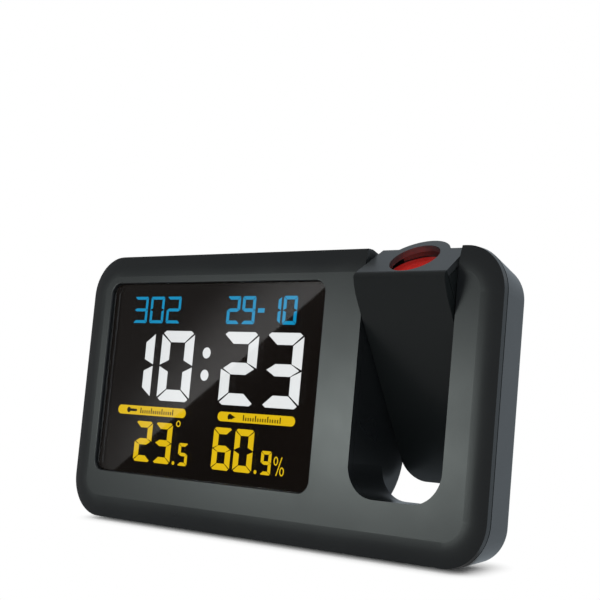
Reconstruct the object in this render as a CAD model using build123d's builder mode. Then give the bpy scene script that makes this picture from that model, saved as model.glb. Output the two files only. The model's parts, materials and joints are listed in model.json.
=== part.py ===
from build123d import *
from math import cos, radians, sin, tan
import os

# Projection alarm clock: a thin display clock that leans back on a rear heel, with a projector
# arm that swings in a slot at the right.
#
# Every piece is drawn upright, in the clock's own directions: +X right, +Y from the front face
# to the back, +Z up the face, with the face's lower edge at Y = 0, Z = 0. The arm is drawn
# stowed, flush in its slot. At the end the arm is swung out and the whole clock is leaned back
# and set down, so that the underside of the front foot is centred on the origin.

# ---------------------------------------------------------------- driving dimensions, mm
# Body
BODY_WIDTH = 156.0
BODY_HEIGHT = 82.0
BODY_DEPTH = 15.0
CORNER_RADIUS = 12.3
LEAN = 8.1  # degrees that the body leans back
CROWN_WIDTH = 6.5  # how far the front's rim is crowned
CROWN_DROP = 1.05
RIM_DEPTH = 1.55  # straight side of the front cover
SEAM = 0.3  # shadow gap between the two halves
FRONT_WALL = 2.0
RIM_WALL = 1.8
LIP_WALL = 0.9
LIP_DEPTH = 1.6
LIP_CLEARANCE = 0.6  # from the rear half's wall
REAR_WALL = 2.0
SIDE_DRAFT_INSET = 2.5  # how far the sides draw in towards the back
TOP_DRAFT_INSET = 3.7
REAR_CORNER_RADIUS = 9.5
REAR_EDGE_RADIUS = 1.2

# Display
WINDOW_MARGIN = 9.5  # from the body's left edge
PILLAR_WIDTH = 13.5  # of the front between the window and the slot
WINDOW_SILL = 14.5  # above the body's lower edge
HEADER_HEIGHT = 8.7  # of the front above the window
WINDOW_RADIUS = 3.5
WINDOW_EDGE = 0.4  # rounding of the front's edge round the window
PANE_OVERLAP = 1.2
PANE_THICKNESS = 1.2
PANE_RECESS = 1.2  # of its raised middle behind the body's face
PANE_GAP = 0.15  # round its raised middle
LCD_THICKNESS = 2.2
GUIDE_THICKNESS = 1.6
TRAY_THICKNESS = 2.5
TRAY_WALL = 0.6
STACK_GAP = 0.1
GUIDE_CLEARANCE = 0.2
ZEBRA_HEIGHT = 2.2
ZEBRA_CLEARANCE = 0.2
ZEBRA_INSET = 3.0  # from each end of the window

# Slot and arm
STRIP_WIDTH = 13.7  # of the body right of the slot
SLOT_WIDTH = 30.6
SLOT_SILL = 14.9
SLOT_RADIUS = 9.0
TUNNEL_WALL = 1.6
ARM_SIDE_GAP = 0.5
ARM_BOTTOM_GAP = 2.4
ARM_TOP_DROP = 2.7  # of the arm's front top edge below the body's top
ARM_TOP_SLOPE = 5.5  # degrees that the arm's top rises to the back
ARM_BROW_RADIUS = 22.0  # curve of the arm's front below its top edge
ARM_BROW_ANGLE = 20.0
ARM_BROW_EDGE = 1.6  # rounding where the brow meets the top
ARM_CORNER_RADIUS = 6.6
ARM_PARTING = 2.6
ARM_SEAM = 0.15
ARM_WALL = 1.5
ARM_DRAFT = 4.4
ARM_HEEL_DEPTH = 11.3  # depth of the arm at its bottom
ARM_TAPER_HEIGHT = 40.0  # height where the back starts to taper
CAP_THICKNESS = 1.8
ARM_SCREW_SPREAD = 10.5
ARM_LOW_SCREW_RISE = 7.7  # above the arm's bottom
ARM_HIGH_SCREW_DROP = 5.3  # below the arm's front top edge
ARM_POST_RADIUS = 1.9
ARM_POST_END = 8.0  # depth where the cover's posts end
ARM_SCREW_SEAT = 10.6  # depth where the arm's screw heads sit
ARM_BOSS_WALL = 0.8
SWING_SHOWN = 32.0  # degrees from stowed to the pose at rest
PIVOT_DEPTH = 7.5
PIVOT_DROP = 17.1  # below the body's top
BUSH_RADIUS = 3.1
BUSH_BORE_RADIUS = 2.0
BUSH_FLANGE_RADIUS = 5.0
PIN_RADIUS = 2.4
PIN_HEAD_RADIUS = 3.6
FLANGE_THICKNESS = 1.2
PIVOT_REACH = 4.0  # of the bush and the pin inside the arm
PIVOT_CLEARANCE = 0.05
WASHER_RADIUS = 4.2
WASHER_THICKNESS = 1.0
WASHER_GAP = 0.35  # to the slot's wall
JOURNAL_WALL = 1.3

# Projector optics
OPTIC_DEPTH = 10.0  # of the optical axis behind the arm's front
LENS_HOLE_RADIUS = 7.05
BULGE_RADIUS = 9.8
BULGE_WALL = 2.4
BULGE_LENGTH = 40.3  # from the arm's front top edge to the centre of the bulge's round end
BARREL_RADIUS = 7.2
BARREL_BORE = 6.45
BARREL_DROP = 33.8  # of the barrel's lower end below the arm's front top edge
CELL_HEIGHT = 7.0
CELL_WALL = 0.7
CELL_SUNK = 0.5  # below the cap
CELL_CLEARANCE = 0.08
CELL_LEDGE = 0.7  # that the lens sits on
CELL_END_LIP = 0.9
CELL_END_THICKNESS = 0.8
BARREL_CAP_GAP = 0.2
LENS_THICKNESS = 3.0
LENS_SUNK = 1.3  # below the cell's top
LENS_DOME = 0.9
SLIDE_SIZE = 10.0
SLIDE_THICKNESS = 1.2
LAMP_TUBE_RADIUS = 6.6
LAMP_TUBE_BORE = 5.8
LAMP_TUBE_LENGTH = 7.4
CONDENSER_THICKNESS = 3.0
CONDENSER_LEDGE = 0.7
CONDENSER_SUNK = 0.4  # below the tube's top
LED_BOARD_RADIUS = 6.2
BOARD_THICKNESS = 1.2
LED_RADIUS = 2.5
LED_HEIGHT = 3.2

# Back of the body
DRUM_RADIUS = 18.3  # battery drum across the back
DRUM_DEPTH = 6.9
DRUM_HEIGHT = 27.9
DRUM_MARGIN = 32.0  # from the body's left edge
DRUM_END_STEP = 0.6  # of the drum's right end behind the slot's wall
DRUM_WALL = 1.8
CELL_DIAMETER = 10.5
CELL_LENGTH = 44.5
CELL_SPACING = 10.9
CELL_NUB_RADIUS = 1.9
CELL_NUB_LENGTH = 0.8
CELL_FLOOR_GAP = 0.4
CONTACT_SIZE = 8.4
CONTACT_THICKNESS = 0.4
CONTACT_NUB_RADIUS = 2.6
SPRING_RADIUS = 3.4
SPRING_WALL = 0.7
POCKET_LENGTH = 53.0
POCKET_HEIGHT = 23.2
POCKET_SHIFT = 0.85  # of the pocket's centre left of the drum's
POCKET_FLOOR = 1.2
DOOR_MARGIN = 1.4  # how far the door laps over the pocket's walls
DOOR_GAP = 0.3
POCKET_RIM = 0.9  # of the pocket's wall outside the door
GRIP_RIB = 0.7
GRIP_LENGTH = 12.0
GRIP_FIRST_ANGLE = 16.0  # of the lowest rib on the drum, degrees above level
GRIP_ANGLE = 13.0
HEEL_INSET = 4.0  # from the drum's left end
HEEL_MARGIN = 21.7  # from the heel to the slot
HEEL_REACH = 34.0  # along the table from the seam
HEEL_TIP_HEIGHT = 4.0
HEEL_TIP_RADIUS = 1.3
HEEL_MEET_ANGLE = -58.0  # on the drum, degrees from level
FOOT_PROUD = 1.0
FOOT_SUNK = 0.7
FRONT_FOOT_MARGIN = 26.0  # from each side of the body
FRONT_FOOT_WIDTH = 7.0
FRONT_FOOT_PLACE = 7.2  # centre, along the table from the seam
REAR_FOOT_RADIUS = 3.6
REAR_FOOT_PLACE = 28.6
FOOT_CLEARANCE = 0.2

# Controls and electronics
REAR_BUTTON_COUNT = 6
REAR_BUTTON_MARGIN = 18.0  # of the first from the body's left edge
REAR_BUTTON_LAST = 13.5  # of the last from the board's right edge
REAR_BUTTON_DROP = 19.5  # below the body's top
REAR_BUTTON_LENGTH = 8.0
REAR_BUTTON_WIDTH = 4.6
REAR_BUTTON_PROUD = 1.1
BUTTON_GAP = 0.3
BUTTON_FLANGE = 0.9
BUTTON_FLANGE_LAP = 0.8
BUTTON_TRAVEL = 0.4
BUTTON_EDGE = 0.45
SNOOZE_LENGTH = 44.0
SNOOZE_FRONT = 5.4
SNOOZE_BACK = 11.4
SNOOZE_PROUD = 0.7
SNOOZE_TRAVEL = 0.5
PCB_SIDE_MARGIN = 6.5  # from the body's left edge
PCB_TOP_MARGIN = 6.8  # from the body's top
PCB_SLOT_MARGIN = 13.7  # from the slot to the board's main part
PCB_POCKET_GAP = 3.4  # above the battery pocket's walls
PCB_EAR_MARGIN = 3.7  # from the slot to the board's ear
PCB_EAR_WIDTH = 6.5
PCB_EAR_HEIGHT = 16.5
PCB_EAR_DROP = 2.9  # of its top below the pivot
PCB_CORNER = 1.5
SWITCH_SIZE = 4.5
SWITCH_HEIGHT = 1.1
PLUNGER_RADIUS = 1.2
PLUNGER_HEIGHT = 0.4
CHIP_RADIUS = 5.0
CHIP_HEIGHT = 1.4
CHIP_SLOPE = 35.0
CHIP_MARGIN = (4.0, 6.5)  # from the board's main right edge and lower edge
CAPACITOR_RADIUS = 2.0
CAPACITOR_MARGINS = (30.0, 38.0)  # from the board's main right edge
CRYSTAL_LENGTH = 7.0
CRYSTAL_WIDTH = 2.6
CRYSTAL_MARGIN = 50.0
TALL_PARTS_RISE = 3.0  # above the board's lower edge
TALL_PARTS_HEIGHT = 2.6
INLET_WIDTH = 8.9
INLET_THICKNESS = 3.2
INLET_LENGTH = 7.2
INLET_RISE = 6.5  # above the board's lower edge
INLET_SHELL = 0.3
INLET_TONGUE = 0.7
INLET_TONGUE_INSET = 1.2
INLET_BACK = 1.2
INLET_GAP = 0.25  # round it in the side wall
INLET_SUNK = 0.5
SPEAKER_RADIUS = 9.5
SPEAKER_HEIGHT = 30.0
SPEAKER_MARGIN = 17.5  # from the body's left edge
SPEAKER_THICKNESS = 3.4
SPEAKER_FLANGE = 0.8
SPEAKER_MAGNET_RADIUS = 5.2
GRILLE_SLOT_LENGTH = 12.0
GRILLE_SLOT_WIDTH = 1.5
GRILLE_PITCH = 3.2
GRILLE_SLOTS = 5
SCREW_RADIUS = 1.2
SCREW_HEAD_RADIUS = 2.3
SCREW_HEAD_HEIGHT = 1.3
SCREW_LENGTH = 8.0
SCREW_CLEARANCE = 0.05
POST_RADIUS = 2.5
POST_END = 8.6  # depth where the front cover's posts end
POST_FLOOR = 0.4
BOSS_WALL = 0.9
HEAD_CLEARANCE = 0.2
HOLE_CLEARANCE = 0.15  # round a shank
CASE_SCREW_MARGIN = 12.0  # from the body's left edge
CASE_SCREW_GAPS = (6.9, 4.3)  # left and right of the slot
CASE_SCREW_RISES = (7.8, 8.4, 12.2)  # above the body's lower edge, from the left
CASE_SCREW_DROP = 10.5  # below the body's top
PCB_SCREW_MARGIN = 4.0  # from the ear's right edge
PCB_SCREW_DROP = 3.5  # from the ear's top
PCB_SCREW_RISE = 3.0  # from the ear's bottom
PCB_POST_RADIUS = 2.1
SMALL_SCREW_RADIUS = 0.9
SMALL_HEAD_RADIUS = 1.8
SMALL_HEAD_HEIGHT = 1.0
SMALL_SCREW_LENGTH = 5.0
LEAD_RADIUS = 0.8
LEAD_BEND = 1.6
LEAD_END_GAP = 0.6

# ---------------------------------------------------------------- worked out from them
PARTING = CROWN_DROP + RIM_DEPTH
REAR_START = PARTING + SEAM
REAR_INSIDE = BODY_DEPTH - REAR_WALL
BODY_RUN = BODY_DEPTH - REAR_START
SOLE_INSET = BODY_RUN * tan(radians(LEAN))  # makes the underside level once leaned

body_left = -BODY_WIDTH / 2
slot_x = BODY_WIDTH / 2 - STRIP_WIDTH - SLOT_WIDTH / 2
slot_left = slot_x - SLOT_WIDTH / 2
slot_right = slot_x + SLOT_WIDTH / 2
window_left = body_left + WINDOW_MARGIN
window_width = slot_left - PILLAR_WIDTH - window_left
window_height = BODY_HEIGHT - HEADER_HEIGHT - WINDOW_SILL
window_x = window_left + window_width / 2
window_z = WINDOW_SILL + window_height / 2
pane_y = FRONT_WALL + STACK_GAP
lcd_y = pane_y + PANE_THICKNESS + STACK_GAP
tray_y = lcd_y + LCD_THICKNESS + STACK_GAP
board_y = tray_y + TRAY_THICKNESS + 2 * STACK_GAP
board_back = board_y + BOARD_THICKNESS

arm_width = SLOT_WIDTH - 2 * ARM_SIDE_GAP
arm_bottom = SLOT_SILL + ARM_BOTTOM_GAP
arm_top = BODY_HEIGHT - ARM_TOP_DROP
pivot_height = BODY_HEIGHT - PIVOT_DROP
brow_drop = ARM_BROW_RADIUS * (1 - cos(radians(ARM_BROW_ANGLE)))
brow_height = ARM_BROW_RADIUS * sin(radians(ARM_BROW_ANGLE))
cap_rise = tan(radians(ARM_TOP_SLOPE))
cap_front = (ARM_PARTING - brow_drop) / cos(radians(ARM_TOP_SLOPE))  # from the top edge, along the top
bulge_centre = arm_top - BULGE_LENGTH
barrel_bottom = arm_top - BARREL_DROP
arm_side_at_pivot = arm_width / 2 - (PIVOT_DEPTH - ARM_PARTING) * tan(radians(ARM_DRAFT))

drum_left = body_left + DRUM_MARGIN
drum_inside = DRUM_RADIUS - DRUM_WALL
heel_left = drum_left + HEEL_INSET
heel_right = slot_left - HEEL_MARGIN
pocket_centre = (drum_left + slot_left) / 2 - POCKET_SHIFT
pocket_front = board_y
pocket_floor_y = pocket_front + POCKET_FLOOR
door_length = POCKET_LENGTH + 2 * DOOR_MARGIN
door_height = POCKET_HEIGHT + 2 * DOOR_MARGIN
pocket_wall = DOOR_MARGIN + DOOR_GAP + POCKET_RIM
cell_y = pocket_floor_y + CELL_FLOOR_GAP + CELL_DIAMETER / 2
front_foot_length = BODY_WIDTH - 2 * FRONT_FOOT_MARGIN

pcb_left = body_left + PCB_SIDE_MARGIN
pcb_right = slot_left - PCB_SLOT_MARGIN
pcb_bottom = DRUM_HEIGHT + POCKET_HEIGHT / 2 + pocket_wall + PCB_POCKET_GAP
pcb_top = BODY_HEIGHT - PCB_TOP_MARGIN
ear_right = slot_left - PCB_EAR_MARGIN
ear_left = ear_right - PCB_EAR_WIDTH
ear_top = pivot_height - PCB_EAR_DROP
ear_bottom = ear_top - PCB_EAR_HEIGHT
pcb_screw_x = ear_right - PCB_SCREW_MARGIN
pcb_screw_places = [(pcb_screw_x, ear_top - PCB_SCREW_DROP), (pcb_screw_x, ear_bottom + PCB_SCREW_RISE)]
case_screw_places = [
    (body_left + CASE_SCREW_MARGIN, CASE_SCREW_RISES[0]),
    (slot_left - CASE_SCREW_GAPS[0], CASE_SCREW_RISES[1]),
    (slot_right + CASE_SCREW_GAPS[1], CASE_SCREW_RISES[2]),
    (slot_left - CASE_SCREW_GAPS[0], BODY_HEIGHT - CASE_SCREW_DROP),
    (slot_right + CASE_SCREW_GAPS[1], BODY_HEIGHT - CASE_SCREW_DROP),
]
inlet_height = pcb_bottom + INLET_RISE
speaker_x = body_left + SPEAKER_MARGIN
first_button = body_left + REAR_BUTTON_MARGIN
button_pitch = (pcb_right - REAR_BUTTON_LAST - first_button) / (REAR_BUTTON_COUNT - 1)


# ---------------------------------------------------------------- planes and shared outlines
def face_plane(depth):
    """Plane that faces the front, at a depth behind the clock's face: local x right, y up."""
    return Plane.XZ.offset(-depth)


def side_plane(x):
    """Plane that faces right: local x towards the back, y up."""
    return Plane.YZ.offset(x)


def sole_plane(along, x=0.0):
    """Plane of the level underside, facing down, at a distance along the table from the seam."""
    lean = radians(LEAN)
    origin = (x, REAR_START + along * cos(lean), along * sin(lean))
    return Plane(origin=origin, x_dir=(1, 0, 0), z_dir=(0, sin(lean), -cos(lean)))


def table_side_plane(x):
    """Plane that faces right: local x along the table towards the back, y straight up."""
    lean = radians(LEAN)
    return Plane(origin=(x, REAR_START, 0), x_dir=(0, cos(lean), sin(lean)), z_dir=(1, 0, 0))


def rear_section(depth, inset):
    """Outline of the rear half at a depth, drawn in by its draft and by an inset."""
    share = (depth - REAR_START) / BODY_RUN
    side = SIDE_DRAFT_INSET * share + inset
    top = TOP_DRAFT_INSET * share + inset
    bottom = SOLE_INSET * share + inset
    radius = CORNER_RADIUS + (REAR_CORNER_RADIUS - CORNER_RADIUS) * share - inset
    with BuildSketch(face_plane(depth)) as section:
        with Locations((0, (bottom + BODY_HEIGHT - top) / 2)):
            RectangleRounded(BODY_WIDTH - 2 * side, BODY_HEIGHT - top - bottom, radius)
    return section.sketch


def slot_section(depth, grow=0.0):
    """The slot's U outline, open at the top, grown outwards by a wall."""
    with BuildSketch(face_plane(depth)) as section:
        with Locations((slot_x, SLOT_SILL - grow)):
            Rectangle(SLOT_WIDTH + 2 * grow, BODY_HEIGHT, align=(Align.CENTER, Align.MIN))
        fillet(section.vertices().group_by(Axis.Y)[0], SLOT_RADIUS + grow)
    return section.sketch


def drum_section(x, radius, front):
    """The battery drum's round profile at x, behind a depth."""
    with BuildSketch(side_plane(x)) as section:
        with Locations((DRUM_DEPTH, DRUM_HEIGHT)):
            Circle(radius)
        with Locations((front, DRUM_HEIGHT)):
            Rectangle(4 * radius, 4 * radius, align=(Align.MAX, Align.CENTER), mode=Mode.SUBTRACT)
    return section.sketch


def heel_section(x, front, wall=0.0):
    """The heel's profile at x, back along the table and up to the drum, or its hollow in a wall."""
    lean = radians(LEAN)
    meet = radians(HEEL_MEET_ANGLE)
    centre_back = (DRUM_DEPTH - REAR_START) * cos(lean) + DRUM_HEIGHT * sin(lean)
    centre_up = DRUM_HEIGHT * cos(lean) - (DRUM_DEPTH - REAR_START) * sin(lean)
    meet_point = (centre_back + DRUM_RADIUS * cos(meet), centre_up + DRUM_RADIUS * sin(meet))
    with BuildSketch(table_side_plane(x)) as section:
        with BuildLine():
            Polyline(
                (front, 0),
                (HEEL_REACH, 0),
                (HEEL_REACH, HEEL_TIP_HEIGHT),
                meet_point,
                (front, meet_point[1]),
                close=True,
            )
        make_face()
        fillet(section.vertices().group_by(Axis.X)[-1], HEEL_TIP_RADIUS)
        if wall:
            offset(amount=-wall)
    return section.sketch


# ---------------------------------------------------------------- front cover
with BuildPart() as front_shell:
    with BuildSketch(face_plane(PARTING)):
        with Locations((0, BODY_HEIGHT / 2)):
            RectangleRounded(BODY_WIDTH, BODY_HEIGHT, CORNER_RADIUS)
    extrude(amount=PARTING)
    # crowned rim, swept round the outline
    with BuildSketch(face_plane(CROWN_DROP), mode=Mode.PRIVATE) as rim_outline:
        with Locations((0, BODY_HEIGHT / 2)):
            RectangleRounded(BODY_WIDTH, BODY_HEIGHT, CORNER_RADIUS)
    rim_path = rim_outline.sketch.face().outer_wire()
    outward = (rim_path % 0).cross(Vector(0, -1, 0))
    crown_plane = Plane(origin=rim_path @ 0, x_dir=outward, z_dir=-(rim_path % 0))
    with BuildSketch(crown_plane, mode=Mode.PRIVATE) as crown:
        with BuildLine():
            start = (-CROWN_WIDTH, CROWN_DROP)
            TangentArc(start, (0, 0), tangent=(1, 0))
            Polyline((0, 0), (1, 0), (1, 2 * CROWN_DROP), (-CROWN_WIDTH, 2 * CROWN_DROP), start)
        make_face()
    sweep(crown.sketch, path=rim_path, mode=Mode.SUBTRACT)
    # hollow behind the front wall
    with BuildSketch(face_plane(PARTING)):
        with Locations((0, BODY_HEIGHT / 2)):
            RectangleRounded(
                BODY_WIDTH - 2 * RIM_WALL, BODY_HEIGHT - 2 * RIM_WALL, CORNER_RADIUS - RIM_WALL
            )
    extrude(amount=PARTING - FRONT_WALL, mode=Mode.SUBTRACT)
    # lip that the rear half slides over
    lip_inset = REAR_WALL + LIP_CLEARANCE
    with BuildSketch(face_plane(FRONT_WALL)):
        with Locations((0, BODY_HEIGHT / 2)):
            for inset, mode in ((lip_inset, Mode.ADD), (lip_inset + LIP_WALL, Mode.SUBTRACT)):
                RectangleRounded(
                    BODY_WIDTH - 2 * inset, BODY_HEIGHT - 2 * inset, CORNER_RADIUS - inset, mode=mode
                )
    extrude(amount=-(PARTING + LIP_DEPTH - FRONT_WALL))
    # slot, with room for the tunnel's wall behind the front wall
    extrude(slot_section(0), amount=-BODY_DEPTH, mode=Mode.SUBTRACT)
    extrude(slot_section(FRONT_WALL, TUNNEL_WALL + 0.2), amount=-BODY_DEPTH, mode=Mode.SUBTRACT)
    # display opening, and a rib that locates the pane and the LCD
    with BuildSketch(face_plane(0)):
        with Locations((window_x, window_z)):
            RectangleRounded(window_width, window_height, WINDOW_RADIUS)
    extrude(amount=-FRONT_WALL, mode=Mode.SUBTRACT)
    face_edges = front_shell.edges().group_by(Axis.Y)[0]
    window_edges = face_edges.filter_by_position(Axis.X, window_left, slot_left - PILLAR_WIDTH)
    fillet(window_edges.filter_by_position(Axis.Z, WINDOW_SILL, WINDOW_SILL + window_height), WINDOW_EDGE)
    rib_width = window_width + 2 * (PANE_OVERLAP + STACK_GAP)
    rib_height = window_height + 2 * (PANE_OVERLAP + STACK_GAP)
    with BuildSketch(face_plane(FRONT_WALL)):
        with Locations((window_x, window_z)):
            Rectangle(rib_width + 2 * LIP_WALL, rib_height + 2 * LIP_WALL)
            Rectangle(rib_width, rib_height, mode=Mode.SUBTRACT)
    extrude(amount=-(lcd_y + LCD_THICKNESS - FRONT_WALL))
    # posts for the case screws
    with BuildSketch(face_plane(FRONT_WALL)):
        with Locations(*case_screw_places):
            Circle(POST_RADIUS)
    extrude(amount=-(POST_END - FRONT_WALL))
    with BuildSketch(face_plane(POST_END)):
        with Locations(*case_screw_places):
            Circle(SCREW_RADIUS + SCREW_CLEARANCE)
    extrude(amount=POST_END - FRONT_WALL - POST_FLOOR, mode=Mode.SUBTRACT)
    # posts that the circuit board is screwed to
    with BuildSketch(face_plane(FRONT_WALL)):
        with Locations(*pcb_screw_places):
            Circle(PCB_POST_RADIUS)
            Circle(SMALL_SCREW_RADIUS + SCREW_CLEARANCE, mode=Mode.SUBTRACT)
    extrude(amount=-(board_y - FRONT_WALL))

# ---------------------------------------------------------------- rear half
boss_radius = SCREW_HEAD_RADIUS + BOSS_WALL
boss_end = POST_END + STACK_GAP

with BuildPart() as rear_core:  # the hollow inside the rear half
    add(rear_section(REAR_START, RIM_WALL))
    add(rear_section(REAR_INSIDE, RIM_WALL))
    loft(ruled=True)
    extrude(drum_section(drum_left + DRUM_WALL, drum_inside, BODY_DEPTH - 2 * REAR_WALL),
            amount=slot_left - DRUM_END_STEP - TUNNEL_WALL - drum_left - DRUM_WALL)
    extrude(heel_section(heel_left + DRUM_WALL, BODY_DEPTH - REAR_WALL - DRUM_WALL, DRUM_WALL),
            amount=heel_right - heel_left - 2 * DRUM_WALL)
    extrude(slot_section(0, TUNNEL_WALL), amount=-2 * BODY_DEPTH, mode=Mode.SUBTRACT)
    # the battery pocket's walls stay
    with BuildSketch(face_plane(pocket_front)):
        with Locations((pocket_centre, DRUM_HEIGHT)):
            Rectangle(POCKET_LENGTH + 2 * pocket_wall, POCKET_HEIGHT + 2 * pocket_wall)
    extrude(amount=-2 * BODY_DEPTH, mode=Mode.SUBTRACT)

with BuildPart() as rear_shell:
    add(rear_section(REAR_START, 0))
    add(rear_section(BODY_DEPTH, 0))
    loft(ruled=True)
    fillet(rear_shell.faces().sort_by(Axis.Y)[-1].edges(), REAR_EDGE_RADIUS)
    extrude(drum_section(drum_left, DRUM_RADIUS, BODY_DEPTH - REAR_WALL),
            amount=slot_left - DRUM_END_STEP - drum_left)
    extrude(heel_section(heel_left, BODY_DEPTH - 2 * REAR_WALL), amount=heel_right - heel_left)
    add(rear_core.part, mode=Mode.SUBTRACT)
    extrude(slot_section(0), amount=-2 * BODY_DEPTH, mode=Mode.SUBTRACT)
    # the tunnel's walls reach forward to the front wall
    with BuildSketch(face_plane(REAR_START)):
        add(slot_section(REAR_START, TUNNEL_WALL))
        add(slot_section(REAR_START), mode=Mode.SUBTRACT)
        add(rear_section(REAR_START, 0), mode=Mode.INTERSECT)
    extrude(amount=REAR_START - FRONT_WALL - STACK_GAP)
    # battery pocket, and the seat for its door
    with BuildSketch(face_plane(pocket_floor_y)):
        with Locations((pocket_centre, DRUM_HEIGHT)):
            Rectangle(POCKET_LENGTH, POCKET_HEIGHT)
    extrude(amount=-2 * BODY_DEPTH, mode=Mode.SUBTRACT)
    with BuildSketch(side_plane(pocket_centre - door_length / 2 - DOOR_GAP)):
        with Locations((DRUM_DEPTH, DRUM_HEIGHT)):
            Circle(DRUM_RADIUS + 1)
            Circle(drum_inside, mode=Mode.SUBTRACT)
            Rectangle(4 * BODY_DEPTH, door_height + 2 * DOOR_GAP, mode=Mode.INTERSECT)
        with Locations((BODY_DEPTH - REAR_WALL, DRUM_HEIGHT)):
            Rectangle(4 * BODY_DEPTH, BODY_HEIGHT, align=(Align.MAX, Align.CENTER), mode=Mode.SUBTRACT)
    extrude(amount=door_length + 2 * DOOR_GAP, mode=Mode.SUBTRACT)
    # bosses and counterbores for the case screws
    with BuildSketch(face_plane(BODY_DEPTH - 1)):
        with Locations(*case_screw_places):
            Circle(boss_radius)
    extrude(amount=BODY_DEPTH - 1 - boss_end)
    with BuildSketch(face_plane(BODY_DEPTH + 1)):
        with Locations(*case_screw_places):
            Circle(SCREW_HEAD_RADIUS + HEAD_CLEARANCE)
    extrude(amount=2 * SCREW_HEAD_HEIGHT + 1, mode=Mode.SUBTRACT)
    with BuildSketch(face_plane(BODY_DEPTH)):
        with Locations(*case_screw_places):
            Circle(SCREW_RADIUS + HOLE_CLEARANCE)
    extrude(amount=BODY_DEPTH - REAR_START, mode=Mode.SUBTRACT)
    # rear button holes and speaker grille
    button_places = [
        (first_button + i * button_pitch, BODY_HEIGHT - REAR_BUTTON_DROP) for i in range(REAR_BUTTON_COUNT)
    ]
    with BuildSketch(face_plane(BODY_DEPTH)):
        with Locations(*button_places):
            SlotOverall(REAR_BUTTON_LENGTH + 2 * BUTTON_GAP, REAR_BUTTON_WIDTH + 2 * BUTTON_GAP)
        with Locations((speaker_x, SPEAKER_HEIGHT)):
            with GridLocations(GRILLE_PITCH, 1, GRILLE_SLOTS, 1):
                SlotOverall(GRILLE_SLOT_LENGTH, GRILLE_SLOT_WIDTH, rotation=90)
    extrude(amount=REAR_WALL, mode=Mode.SUBTRACT)
    # snooze key opening in the top
    with BuildSketch(Plane.XY.offset(BODY_HEIGHT)):
        with Locations((window_x, (SNOOZE_FRONT + SNOOZE_BACK) / 2)):
            Rectangle(SNOOZE_LENGTH + 2 * BUTTON_GAP, SNOOZE_BACK - SNOOZE_FRONT + 2 * BUTTON_GAP)
    extrude(amount=-(TOP_DRAFT_INSET + REAR_WALL), mode=Mode.SUBTRACT)
    # power inlet hole in the left side
    with BuildSketch(side_plane(-BODY_WIDTH / 2)):
        with Locations((board_back + STACK_GAP + INLET_THICKNESS / 2, inlet_height)):
            SlotOverall(INLET_WIDTH + 2 * INLET_GAP, INLET_THICKNESS + 2 * INLET_GAP, rotation=90)
    extrude(amount=SIDE_DRAFT_INSET + REAR_WALL, mode=Mode.SUBTRACT)
    # pivot holes in the tunnel's walls
    with BuildSketch(side_plane(slot_left)):
        with Locations((PIVOT_DEPTH, pivot_height)):
            Circle(BUSH_RADIUS + PIVOT_CLEARANCE)
    extrude(amount=-TUNNEL_WALL, mode=Mode.SUBTRACT)
    with BuildSketch(side_plane(slot_right)):
        with Locations((PIVOT_DEPTH, pivot_height)):
            Circle(PIN_RADIUS + PIVOT_CLEARANCE)
    extrude(amount=TUNNEL_WALL, mode=Mode.SUBTRACT)
    # recesses for the feet
    with BuildSketch(sole_plane(FRONT_FOOT_PLACE)):
        SlotOverall(front_foot_length + 2 * FOOT_CLEARANCE, FRONT_FOOT_WIDTH + 2 * FOOT_CLEARANCE)
    extrude(amount=-FOOT_SUNK, mode=Mode.SUBTRACT)
    rear_foot_xs = [heel_left + 2 * REAR_FOOT_RADIUS, heel_right - 2 * REAR_FOOT_RADIUS]
    for x in rear_foot_xs:
        with BuildSketch(sole_plane(REAR_FOOT_PLACE, x)):
            Circle(REAR_FOOT_RADIUS + FOOT_CLEARANCE)
        extrude(amount=-FOOT_SUNK, mode=Mode.SUBTRACT)

# ---------------------------------------------------------------- feet
with BuildPart() as front_foot:
    with BuildSketch(sole_plane(FRONT_FOOT_PLACE)):
        SlotOverall(front_foot_length, FRONT_FOOT_WIDTH)
    extrude(amount=FOOT_PROUD)
    extrude(front_foot.faces().filter_by(GeomType.PLANE).sort_by(Axis.Z)[-1], amount=FOOT_SUNK)

with BuildPart() as rear_feet:
    for x in rear_foot_xs:
        with BuildSketch(sole_plane(REAR_FOOT_PLACE, x).offset(-FOOT_SUNK)):
            Circle(REAR_FOOT_RADIUS)
        extrude(amount=FOOT_SUNK + FOOT_PROUD)

# ---------------------------------------------------------------- display stack
with BuildPart() as display_window:
    with BuildSketch(face_plane(pane_y)):
        with Locations((window_x, window_z)):
            Rectangle(window_width + 2 * PANE_OVERLAP, window_height + 2 * PANE_OVERLAP)
    extrude(amount=-PANE_THICKNESS)
    # its middle rises into the opening
    with BuildSketch(face_plane(pane_y)):
        with Locations((window_x, window_z)):
            RectangleRounded(
                window_width - 2 * PANE_GAP, window_height - 2 * PANE_GAP, WINDOW_RADIUS - PANE_GAP
            )
    extrude(amount=pane_y - PANE_RECESS)

with BuildPart() as lcd_panel:
    with BuildSketch(face_plane(lcd_y)):
        with Locations((window_x, window_z)):
            Rectangle(window_width + 2 * PANE_OVERLAP, window_height + 2 * PANE_OVERLAP)
    extrude(amount=-LCD_THICKNESS)

tray_top = WINDOW_SILL + window_height - ZEBRA_HEIGHT
tray_bottom = WINDOW_SILL - PANE_OVERLAP
with BuildPart() as reflector_tray:
    with BuildSketch(face_plane(tray_y)):
        with Locations((window_x, (tray_top + tray_bottom) / 2)):
            Rectangle(window_width + 2 * PANE_OVERLAP, tray_top - tray_bottom)
    extrude(amount=-TRAY_THICKNESS)
    with BuildSketch(face_plane(tray_y)):
        with Locations((window_x, (tray_top + tray_bottom) / 2)):
            Rectangle(window_width, tray_top - tray_bottom - 2 * PANE_OVERLAP)
    extrude(amount=-(TRAY_THICKNESS - TRAY_WALL), mode=Mode.SUBTRACT)

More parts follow.
